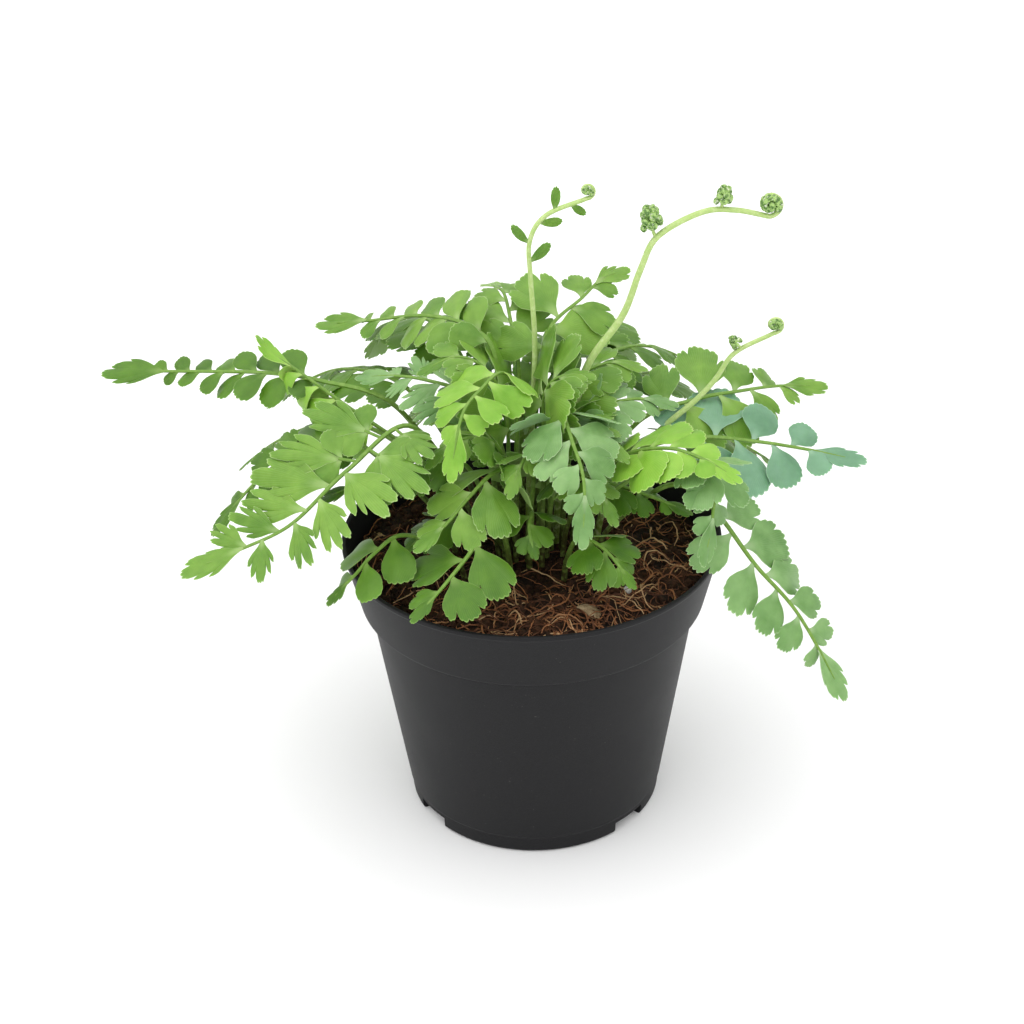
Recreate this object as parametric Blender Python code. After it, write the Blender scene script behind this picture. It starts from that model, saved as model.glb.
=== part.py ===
"""A potted fern: a nursery pot, its soil, a rhizome, arching fronds and young croziers.

The origin is on the ground under the middle of the pot and +Z is up. Lengths are millimetres and
angles degrees until a mesh is made. Azimuth 0 points along +X, and 270 points to the front, -Y.
"""

import math

import bmesh
import bpy
import numpy as np
from mathutils.bvhtree import BVHTree

MM = 0.001
GAP = 0.35  # clearance between neighbouring pieces
ROOT_CLEARANCE = 1.1  # height of a stalk's centre above the soil where it starts

# Pot: a tapered body, a deeper rim band, and a foot ring with cut-outs for drainage
RIM_RADIUS = 60.0
POT_HEIGHT = 96.0
LIP_HEIGHT = 1.4
LIP_STEP = 0.4
BAND_HEIGHT = 21.0
BAND_FOOT_RADIUS = 55.2
BODY_TOP_RADIUS = 52.4
BODY_FOOT_RADIUS = 41.9
FOOT_HEIGHT = 6.0
FOOT_RADIUS = 41.0
WALL = 1.3
FOOT_RING_WIDTH = 3.4
FLOOR_THICKNESS = 1.3
FLOOR_RAISE = 5.2
PAD_RADIUS = 24.0
POT_SIDES = 48
NOTCH_AZIMUTHS = (47.0, 137.0, 214.0, 317.0)
NOTCH_WIDTH = 13.0
NOTCH_HEIGHT = 4.4
DRAIN_COUNT = 6
DRAIN_RADIUS = 3.0
DRAIN_CIRCLE = 31.0
DRAIN_START = 26.0

# Soil: it fills the pot to a few millimetres under the rim, with an uneven top
SOIL_EDGE = 87.0
SOIL_DOME = 3.0
SOIL_ROUGHNESS = 0.8
SOIL_RINGS = 5
SOIL_SIDES = 32

# Rhizome, and the loose bits that lie on the soil
RHIZOME_RADIUS = 4.6
RHIZOME_HEIGHT = 8.0
GRAIN_RADIUS = 1.3
GRAIN_PLACE = (29.0, -27.0)
FLAKE_PLACE = (17.0, -36.0)
FLAKE_LENGTH = 8.0
FLAKE_WIDTH = 6.0
FLAKE_THICKNESS = 0.5

# Frond proportions
KNEE_ALONG = 0.22  # where a stalk turns outwards, as shares of the way to its route's start
KNEE_RISE = 0.42
STALK_HALF_WIDTH = 0.95
STALK_HALF_DEPTH = 0.8
STALK_TAPER = 0.55
BLADE_HALF_DEPTH = 0.3
BASE_ANGLE = 66.0
TIP_ANGLE = 42.0
TERMINAL_START = 0.86
TERMINAL_LOBE = 0.17  # its half width as a share of the longest pinna
TERMINAL_STATIONS = (0.92, 0.97, 1.0)  # shares of the stalk at the lobe's widest, its end and its tip
TIP_HALF_WIDTH = 0.4
PINNA_ROOM = 0.88  # share of the stalk between two pinnae on one side that a pinna may fill
PINNA_BREADTH = 0.6  # room that a pinna takes along the stalk, as a share of its length
PINNA_OUTLINE = ((0.55, -0.27), (0.98, -0.02), (0.52, 0.30))  # shares of its length
WAIST = 0.1  # where the narrow foot of a pinna ends, towards its middle
PINNA_SIZES = (1.0, 0.84, 0.68, 0.52, 0.38)  # tried in turn until one clears its neighbours

# Crozier proportions
CROZIER_SIDES = 6
CURL_TIGHTENING = 0.70  # how much of its radius a curl loses towards its end
BUD_DRAW = 0.75  # how far a bud narrows towards its foot
STEM_STEPS = 20
CURL_STEPS = 18
BUD_SQUASH = 0.8

# Each frond: name, seat (azimuth and distance from the axis), the stalk's route, roll and fold
# of the blade, the longest pinna, pairs of pinnae, and the bare share of the stalk.
FRONDS = (
    ("frond_left_long", (205, 17),
     ((-36, -6, 138), (-55, -18, 130), (-72, -27, 117), (-87, -31, 111), (-106, -35, 105)),
     -24, 18, 29, 6, 0.40),
    ("frond_left_far", (166, 20),
     ((-42, 12, 136), (-65, 16, 143), (-81, 20, 144), (-100, 26, 142), (-137, 36, 138)),
     -25, 4, 16, 7, 0.50),
    ("frond_left_curled", (178, 19),
     ((-36, 2, 124), (-57, 9, 138), (-72, 16, 147), (-79, 19, 151), (-84, 21, 157)),
     0, -20, 15, 5, 0.52),
    ("frond_left_high", (147, 12),
     ((-10, 9, 152), (-17, 16, 160), (-32, 32, 157), (-51, 44, 150), (-69, 55, 144)),
     -32, 4, 18, 6, 0.46),
    ("frond_crown_top", (60, 9),
     ((4, 9, 148), (7, 15, 160), (17, 25, 165), (24, 33, 168), (33, 42, 167)),
     30, 0, 21, 3, 0.64),
    ("frond_crown_back", (105, 10),
     ((-3, 14, 148), (-5, 21, 159), (-7, 32, 164), (-10, 42, 162), (-12, 56, 157)),
     0, -5, 18, 4, 0.56),
    ("frond_right_back", (48, 14),
     ((13, 17, 132), (19, 24, 141), (28, 33, 143), (41, 45, 138), (58, 59, 124)),
     10, -8, 17, 5, 0.42),
    ("frond_centre_bright", (228, 7),
     ((-4, -6, 148), (-8, -13, 159), (-14, -19, 157), (-20, -27, 152), (-24, -38, 136)),
     0, -6, 15, 4, 0.62),
    ("frond_centre_fan", (330, 7),
     ((4, -5, 142), (6, -6, 151), (11, -8, 155), (20, -10, 155)),
     34, 6, 26, 2, 0.80),
    ("frond_front_centre", (283, 13),
     ((5, -16, 140), (9, -21, 149), (12, -31, 145), (15, -42, 137), (14, -54, 122)),
     0, -6, 19, 5, 0.50),
    ("frond_front_left", (236, 15),
     ((-7, -17, 127), (-12, -23, 130), (-19, -30, 126), (-26, -37, 121), (-35, -45, 117)),
     -6, -6, 19, 4, 0.42),
    ("frond_front_rim", (252, 22),
     ((-9, -28, 112), (-14, -35, 117), (-20, -43, 113), (-28, -53, 108), (-36, -61, 103)),
     0, -6, 19, 3, 0.50),
    ("frond_left_rim", (219, 27),
     ((-30, -22, 106), (-40, -27, 112), (-48, -33, 109), (-53, -37, 105), (-62, -43, 98)),
     0, -6, 15, 3, 0.50),
    ("frond_right_bright", (322, 12),
     ((18, -14, 122), (28, -18, 133), (40, -27, 140), (50, -34, 140), (61, -41, 136)),
     20, 0, 17, 4, 0.42),
    ("frond_right_trailing", (338, 21),
     ((42, -14, 120), (54, -22, 117), (67, -32, 102), (80, -39, 88), (95, -46, 61)),
     22, -4, 20, 6, 0.34),
    ("frond_right_nodding", (330, 16),
     ((27, -17, 122), (45, -22, 132), (54, -30, 134), (53, -38, 124), (50, -46, 110)),
     10, -6, 17, 3, 0.62),
    ("frond_right_blue", (3, 15),
     ((32, 2, 122), (50, 3, 127), (68, 2, 126), (84, 0, 124), (104, -4, 121)),
     26, 0, 18, 5, 0.44),
    ("frond_right_high", (22, 14),
     ((34, 12, 128), (52, 15, 134), (66, 20, 134), (80, 27, 132), (97, 34, 128)),
     24, 0, 17, 5, 0.46),
    ("frond_left_blue", (176, 10),
     ((-15, 3, 138), (-21, 5, 144), (-30, 8, 146), (-40, 12, 146), (-54, 18, 143)),
     -22, 0, 19, 4, 0.54),
    ("frond_left_dark", (190, 24),
     ((-50, 0, 127), (-60, 1, 130), (-71, 0, 128), (-86, -3, 117), (-100, -8, 102)),
     -20, -6, 16, 6, 0.44),
    ("frond_left_middle", (212, 12),
     ((-19, -8, 124), (-29, -11, 130), (-41, -12, 127), (-54, -10, 120), (-66, -7, 113)),
     -14, -6, 17, 4, 0.44),
    ("frond_front_right_rim", (296, 22),
     ((13, -27, 109), (17, -32, 112), (23, -38, 110), (30, -46, 103)),
     6, -6, 16, 3, 0.48),
    ("frond_front_inner", (266, 14),
     ((0, -19, 112), (0, -24, 117), (-1, -31, 115), (1, -38, 109)),
     0, -6, 14, 2, 0.55),
    ("frond_right_inner", (346, 13),
     ((18, -7, 117), (25, -11, 119), (37, -16, 117), (49, -20, 113)),
     14, -6, 12, 3, 0.50),
    ("frond_centre_right", (340, 10),
     ((14, -4, 136), (21, -4, 142), (33, -1, 143), (46, 2, 139)),
     20, 0, 17, 4, 0.58),
    ("frond_rear_right", (72, 16),
     ((10, 27, 126), (16, 40, 141), (24, 60, 140), (31, 80, 126), (36, 98, 106)),
     0, -6, 19, 6, 0.38),
    ("frond_rear_middle", (96, 18),
     ((-3, 30, 128), (-5, 48, 139), (-8, 70, 134), (-9, 90, 120), (-8, 110, 100)),
     0, -6, 20, 7, 0.36),
    ("frond_rear_left", (120, 16),
     ((-16, 26, 132), (-26, 42, 146), (-38, 62, 143), (-48, 80, 130), (-54, 98, 110)),
     0, -6, 19, 6, 0.38),
    ("frond_rear_far_left", (141, 21),
     ((-29, 24, 122), (-42, 36, 132), (-60, 50, 130), (-76, 64, 118), (-90, 78, 102)),
     0, -6, 18, 6, 0.38),
    ("frond_rear_far_right", (54, 21),
     ((22, 28, 118), (30, 40, 127), (42, 54, 124), (53, 68, 111), (62, 82, 94)),
     0, -6, 18, 6, 0.38),
    ("frond_right_low", (30, 21),
     ((28, 16, 112), (40, 22, 118), (56, 30, 115), (72, 38, 104), (86, 46, 90)),
     0, -6, 17, 5, 0.40),
    ("frond_rear_low_left", (156, 25),
     ((-37, 18, 114), (-52, 26, 121), (-68, 36, 117), (-84, 45, 106), (-98, 52, 92)),
     0, -6, 17, 6, 0.40),
    ("frond_rear_low_right", (84, 24),
     ((4, 36, 112), (7, 50, 118), (11, 66, 113), (15, 80, 102), (18, 92, 88)),
     0, -6, 17, 5, 0.40),
    ("frond_rear_low_middle", (110, 25),
     ((-13, 37, 111), (-20, 50, 116), (-28, 66, 111), (-35, 80, 100), (-40, 92, 87)),
     0, -6, 17, 5, 0.40),
    ("frond_inner_left", (240, 10),
     ((-7, -12, 126), (-12, -16, 138), (-22, -18, 139), (-32, -20, 131)),
     -8, -6, 15, 3, 0.52),
    ("frond_inner_front", (262, 9.5),
     ((1, -13, 124), (0, -20, 135), (-3, -28, 136), (-7, -36, 129)),
     0, -6, 15, 3, 0.52),
    ("frond_inner_front_right", (300, 9),
     ((8, -12, 122), (14, -20, 128), (20, -29, 127), (25, -38, 120)),
     6, -6, 14, 3, 0.50),
    ("frond_inner_left_back", (130, 7),
     ((-10, 11, 124), (-20, 18, 132), (-28, 21, 131), (-37, 23, 122)),
     -10, -6, 15, 3, 0.48),
    ("frond_inner_back", (85, 11.5),
     ((2, 13, 128), (4, 21, 140), (6, 30, 146), (8, 41, 143)),
     0, -6, 16, 3, 0.54),
    ("frond_inner_low_left", (226, 11),
     ((-14, -11, 104), (-22, -15, 110), (-31, -19, 109), (-40, -24, 103)),
     -8, -6, 14, 3, 0.42),
    ("frond_crown_left", (200, 7.5),
     ((-7, 2, 138), (-13, 3, 152), (-22, 2, 157), (-34, -1, 153)),
     -14, -4, 17, 3, 0.60),
    ("frond_crown_right", (40, 7),
     ((8, 3, 136), (15, 6, 147), (25, 8, 151), (37, 9, 148)),
     12, -4, 16, 3, 0.60),
    ("frond_crown_front", (285, 6.8),
     ((6, -8, 134), (11, -13, 141), (20, -20, 142), (29, -27, 135)),
     8, -6, 15, 3, 0.56),
)
FROND_KEYS = ("name", "seat", "route", "roll", "fold", "span", "pairs", "bare")

# Each crozier: name, seat, route, stalk radius at its foot and at its curl, the curl's radius
# and turns, and its buds as (share of the stalk, offset x, offset z, radius).
CROZIERS = (
    ("crozier_tall", (12, 8),
     ((14, 0, 140), (18, -2, 156), (28, -3, 172), (33, -4, 187), (38, -3, 197), (51, 0, 203),
      (61, 1, 203), (71, 3, 200)),
     1.5, 0.8, 3.8, 1.35, ((0.755, -1.6, 6.5, 4.0), (0.90, 0.5, 4.4, 3.0))),
    ("crozier_left", (98, 6),
     ((1, 8, 135), (2, 9, 158), (1, 10, 179), (1, 10, 191), (6, 10, 199), (18, 10, 204)),
     1.2, 0.7, 2.4, 1.1, ((0.80, -3.4, 1.6, 2.4), (0.88, -0.4, 3.2, 2.2))),
    ("crozier_right", (12, 21),
     ((38, 8, 124), (52, 11, 136), (58, 13, 142), (64, 15, 150), (76, 16, 156)),
     1.2, 0.7, 2.8, 1.25, ((0.88, -2.4, 2.4, 2.2),)),
)
CROZIER_KEYS = ("name", "seat", "route", "foot", "neck", "curl", "turns", "buds")

BLACK = (0.02, 0.02, 0.022, 1.0)
EARTH = (0.05, 0.025, 0.015, 1.0)
BROWN = (0.06, 0.035, 0.02, 1.0)
WHITE = (0.85, 0.85, 0.82, 1.0)
TAN = (0.35, 0.25, 0.15, 1.0)
GREEN = (0.10, 0.30, 0.06, 1.0)
YOUNG_GREEN = (0.28, 0.45, 0.12, 1.0)


def clear_scene():
    """Removes every object that is in the scene."""
    for thing in list(bpy.data.objects):
        bpy.data.objects.remove(thing)


def material(name, colour, roughness):
    """A Principled material of one colour."""
    made = bpy.data.materials.new(name)
    made.use_nodes = True
    shader = made.node_tree.nodes["Principled BSDF"]
    shader.inputs["Base Color"].default_value = colour
    shader.inputs["Roughness"].default_value = roughness
    shader.inputs["Metallic"].default_value = 0.0
    return made


def add_object(name, points, faces, finish, smooth_angle=40.0):
    """A mesh object from points in millimetres, its faces turned outwards."""
    mesh = bpy.data.meshes.new(name)
    mesh.from_pydata([tuple(float(v) * MM for v in p) for p in points], [], faces)
    bm = bmesh.new()
    bm.from_mesh(mesh)
    bmesh.ops.recalc_face_normals(bm, faces=bm.faces)
    bm.to_mesh(mesh)
    bm.free()
    mesh.shade_smooth()
    mesh.set_sharp_from_angle(angle=math.radians(smooth_angle))
    mesh.materials.append(finish)
    made = bpy.data.objects.new(name, mesh)
    bpy.context.collection.objects.link(made)
    return made


def turned(profile, sides):
    """Points and faces of a closed profile of (radius, height) turned about the axis.

    A profile point at radius 0 becomes a single point.
    """
    points, rings, faces = [], [], []
    for r, z in profile:
        if r == 0.0:
            rings.append([len(points)] * sides)
            points.append((0.0, 0.0, z))
            continue
        rings.append([len(points) + k for k in range(sides)])
        for k in range(sides):
            a = 2.0 * math.pi * k / sides
            points.append((r * math.cos(a), r * math.sin(a), z))
    for p, q in zip(rings, rings[1:]):
        for k in range(sides):
            n = (k + 1) % sides
            corners = (p[k], p[n], q[n], q[k])
            face = tuple(dict.fromkeys(corners))
            if len(face) > 2:
                faces.append(face)
    return points, faces


def cut(target, cutter):
    """Takes the cutter's shape out of the target with a Boolean."""
    cutter.hide_render = True
    cutter.display_type = "WIRE"
    take = target.modifiers.new(cutter.name, "BOOLEAN")
    take.operation = "DIFFERENCE"
    take.solver = "EXACT"
    take.object = cutter


def join(target, extra):
    """Unites the extra shape with the target with a Boolean."""
    cut(target, extra)
    target.modifiers[extra.name].operation = "UNION"


def box(name, size, place, azimuth):
    """A box of a size in millimetres, centred at a place and turned about +Z."""
    bm = bmesh.new()
    bmesh.ops.create_cube(bm, size=1.0)
    bmesh.ops.scale(bm, verts=bm.verts, vec=[s * MM for s in size])
    mesh = bpy.data.meshes.new(name)
    bm.to_mesh(mesh)
    bm.free()
    made = bpy.data.objects.new(name, mesh)
    made.location = [p * MM for p in place]
    made.rotation_euler = (0.0, 0.0, math.radians(azimuth))
    bpy.context.collection.objects.link(made)
    return made


def drain_tool(radius, place, height):
    """A round cutter for one drainage hole."""
    bm = bmesh.new()
    bmesh.ops.create_cone(
        bm, cap_ends=True, segments=16, radius1=radius * MM, radius2=radius * MM, depth=height * MM
    )
    mesh = bpy.data.meshes.new("drain_tool")
    bm.to_mesh(mesh)
    bm.free()
    made = bpy.data.objects.new("drain_tool", mesh)
    made.location = [p * MM for p in place]
    bpy.context.collection.objects.link(made)
    return made


def wall_inside(z):
    """Inner radius of the pot's wall at a height."""
    band_foot = POT_HEIGHT - BAND_HEIGHT
    if z >= band_foot:
        share = (z - band_foot) / BAND_HEIGHT
        return BAND_FOOT_RADIUS - WALL + (RIM_RADIUS - BAND_FOOT_RADIUS) * share
    share = (z - FOOT_HEIGHT) / (band_foot - FOOT_HEIGHT)
    return BODY_FOOT_RADIUS - WALL + (BODY_TOP_RADIUS - BODY_FOOT_RADIUS) * share


def floor_inside():
    """The pot floor's upper side as (radius, height), from the axis to the wall."""
    top = FLOOR_RAISE + FLOOR_THICKNESS
    return (
        (0.0, FLOOR_THICKNESS),
        (PAD_RADIUS - FLOOR_THICKNESS, FLOOR_THICKNESS),
        (PAD_RADIUS, top),
        (wall_inside(top), top),
    )


def make_pot():
    """The pot: wall, rim band with its lip, floor with a low pad, foot ring, drainage."""
    band_foot = POT_HEIGHT - BAND_HEIGHT
    lip = POT_HEIGHT - LIP_HEIGHT
    ring_inside = FOOT_RADIUS - FOOT_RING_WIDTH
    outside = (
        (RIM_RADIUS, POT_HEIGHT),
        (RIM_RADIUS, lip),
        (RIM_RADIUS - LIP_STEP, lip - 0.3),
        (BAND_FOOT_RADIUS, band_foot + 0.8),
        (BAND_FOOT_RADIUS - 0.7, band_foot),
        (BODY_TOP_RADIUS, band_foot - 0.4),
        (BODY_FOOT_RADIUS + 0.2, FOOT_HEIGHT + 0.6),
        (BODY_FOOT_RADIUS - 0.3, FOOT_HEIGHT),
        (FOOT_RADIUS + 0.3, 1.0),
        (FOOT_RADIUS - 0.6, 0.0),
    )
    under = (
        (ring_inside, 0.0),
        (ring_inside, FLOOR_RAISE),
        (PAD_RADIUS + FLOOR_THICKNESS, FLOOR_RAISE),
        (PAD_RADIUS, 0.0),
        (0.0, 0.0),
    )
    inside = floor_inside() + (
        (wall_inside(band_foot - 0.5), band_foot - 0.5),
        (wall_inside(band_foot + 1.0), band_foot + 1.0),
        (RIM_RADIUS - WALL, POT_HEIGHT),
    )
    profile = outside + under + inside + outside[:1]
    points, faces = turned(profile, POT_SIDES)
    last = len(points) - POT_SIDES
    faces = [tuple(v - last if v >= last else v for v in face) for face in faces]
    plastic = material("pot_plastic", BLACK, 0.5)
    pot = add_object("pot", points[:last], faces, plastic, 30.0)
    for azimuth in NOTCH_AZIMUTHS:
        a = math.radians(azimuth)
        place = (FOOT_RADIUS * math.cos(a), FOOT_RADIUS * math.sin(a), 0.5 * NOTCH_HEIGHT - 1.0)
        size = (3.0 * FOOT_RING_WIDTH, NOTCH_WIDTH, NOTCH_HEIGHT + 2.0)
        cut(pot, box("notch_tool", size, place, azimuth))
    for k in range(DRAIN_COUNT):
        a = math.radians(DRAIN_START) + 2.0 * math.pi * k / DRAIN_COUNT
        place = (DRAIN_CIRCLE * math.cos(a), DRAIN_CIRCLE * math.sin(a), FLOOR_RAISE)
        cut(pot, drain_tool(DRAIN_RADIUS, place, 4.0 * FLOOR_THICKNESS))


def soil_height(x, y):
    """Height of the soil's uneven top at a point."""
    dome = SOIL_DOME * (1.0 - (x * x + y * y) / RIM_RADIUS**2)
    lumps = math.sin(0.21 * x + 0.6) * math.cos(0.17 * y) + 0.6 * math.sin(0.35 * y - 0.25 * x)
    return SOIL_EDGE + dome + SOIL_ROUGHNESS * lumps


def make_soil():
    """The root ball's earth: it follows the pot's inside, and its top is uneven."""
    band_foot = POT_HEIGHT - BAND_HEIGHT
    edge = wall_inside(SOIL_EDGE) - GAP
    (_, pad_top), (pad, _), (step, floor_top), _ = floor_inside()
    profile = [(edge * k / SOIL_RINGS, SOIL_EDGE) for k in range(SOIL_RINGS + 1)]
    profile += [
        (wall_inside(band_foot + 1.0) - GAP, band_foot + 1.0),
        (wall_inside(band_foot - 0.5) - GAP, band_foot - 0.5),
        (wall_inside(floor_top) - GAP, floor_top + GAP),
        (step - GAP, floor_top + GAP),
        (pad - GAP, pad_top + GAP),
        (0.0, pad_top + GAP),
    ]
    points, faces = turned(profile, SOIL_SIDES)
    for k in range(1 + SOIL_RINGS * SOIL_SIDES):
        x, y, _ = points[k]
        points[k] = (x, y, soil_height(x, y))
    return add_object("soil", points, faces, material("soil", EARTH, 0.95))


def make_rhizome():
    """The short scaly stock at the middle of the plant, standing on the soil."""
    points, faces = turned(
        [(0.0, 1.0), (0.5, 0.93), (0.9, 0.6), (1.0, 0.25), (0.9, 0.0), (0.0, 0.0)], 12
    )
    shaped = []
    for x, y, z in points:
        lump = 1.0 + 0.08 * math.sin(5.0 * math.atan2(y, x))
        px, py = x * RHIZOME_RADIUS * lump, y * RHIZOME_RADIUS * lump
        shaped.append((px, py, soil_height(px, py) + 2.0 * GAP + z * RHIZOME_HEIGHT))
    add_object("rhizome", shaped, faces, material("rhizome", BROWN, 0.9))


def make_grain():
    """A white grain of perlite that lies on the soil."""
    bm = bmesh.new()
    bmesh.ops.create_icosphere(bm, subdivisions=2, radius=GRAIN_RADIUS)
    x, y = GRAIN_PLACE
    points = []
    for v in bm.verts:
        lump = 1.0 + 0.10 * math.sin(4.0 * v.co.x + 3.0 * v.co.z)
        points.append((x + v.co.x * lump, y + v.co.y, soil_height(x, y) + GAP + GRAIN_RADIUS + v.co.z))
    faces = [tuple(v.index for v in face.verts) for face in bm.faces]
    bm.free()
    add_object("perlite_grain", points, faces, material("perlite", WHITE, 0.8))


def make_flake():
    """A dry, slightly curled piece of an old leaf on the soil."""
    rows, columns = 4, 6
    x0, y0 = FLAKE_PLACE
    points, faces = [], []
    for level in (0.0, FLAKE_THICKNESS):
        for i in range(rows + 1):
            for j in range(columns + 1):
                u, v = j / columns - 0.5, i / rows - 0.5
                x = x0 + FLAKE_LENGTH * u
                y = y0 + FLAKE_WIDTH * v * (1.0 - 1.6 * u * u)
                curl = 3.0 * u * u + 2.0 * v * v
                points.append((x, y, soil_height(x, y) + 2.0 * GAP + curl + level))
    layer = (rows + 1) * (columns + 1)
    for i in range(rows):
        for j in range(columns):
            a = i * (columns + 1) + j
            quad = (a, a + 1, a + columns + 2, a + columns + 1)
            faces.append(quad)
            faces.append(tuple(k + layer for k in quad[::-1]))
    edge = list(range(columns + 1))
    edge += [(i + 1) * (columns + 1) + columns for i in range(rows)]
    edge += [rows * (columns + 1) + j for j in range(columns - 1, -1, -1)]
    edge += [i * (columns + 1) for i in range(rows - 1, 0, -1)]
    for a, b in zip(edge, edge[1:] + edge[:1]):
        faces.append((a, b, b + layer, a + layer))
    add_object("dead_leaf_flake", points, faces, material("dead_leaf", TAN, 0.9))


def resample(line, shares):
    """Points at the given shares of a polyline's length."""
    steps = np.linalg.norm(np.diff(line, axis=0), axis=1)
    along = np.concatenate([[0.0], np.cumsum(steps)])
    wanted = np.asarray(shares) * along[-1]
    return np.stack([np.interp(wanted, along, line[:, k]) for k in range(3)], axis=1)


def smooth_line(points, count):
    """An even polyline on the smooth curve through the points."""
    pts = np.asarray(points, float)
    ends = np.vstack([2.0 * pts[0] - pts[1], pts, 2.0 * pts[-1] - pts[-2]])
    t = np.linspace(0.0, 1.0, 16, endpoint=False)[:, None]
    dense = []
    for a, b, c, d in zip(ends, ends[1:], ends[2:], ends[3:]):
        linear = 2.0 * b + (c - a) * t
        square = (2.0 * a - 5.0 * b + 4.0 * c - d) * t**2
        cube = (3.0 * b - a - 3.0 * c + d) * t**3
        dense.append(0.5 * (linear + square + cube))
    dense = np.vstack(dense + [pts[-1:]])
    return resample(dense, np.linspace(0.0, 1.0, count))


def stalk_line(piece, count=121):
    """A stalk's centre line from its seat on the soil to its tip."""
    azimuth, radius = piece["seat"]
    x = radius * math.cos(math.radians(azimuth))
    y = radius * math.sin(math.radians(azimuth))
    root = (x, y, soil_height(x, y) + ROOT_CLEARANCE)
    first = piece["route"][0]
    knee = (
        x + KNEE_ALONG * (first[0] - x),
        y + KNEE_ALONG * (first[1] - y),
        root[2] + KNEE_RISE * (first[2] - root[2]),
    )
    return smooth_line((root, knee) + tuple(piece["route"]), count)


def frames(line, roll):
    """Unit tangents, side vectors and blade normals along a line."""
    tangent = np.gradient(line, axis=0)
    tangent /= np.linalg.norm(tangent, axis=1)[:, None]
    heading = line[-1] - line[0]
    side = np.array([-heading[1], heading[0], 0.0])
    across = side - (tangent @ side)[:, None] * tangent
    across /= np.linalg.norm(across, axis=1)[:, None]
    normal = np.cross(tangent, across)
    c, s = math.cos(math.radians(roll)), math.sin(math.radians(roll))
    return tangent, across * c + normal * s, normal * c - across * s


def pinna_share(place):
    """Length of a pinna as a share of the longest, from the blade's foot (0) to its tip (1)."""
    return min(0.78 + 0.9 * place, 1.0, 1.0 - 0.76 * (place - 0.25))


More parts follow.
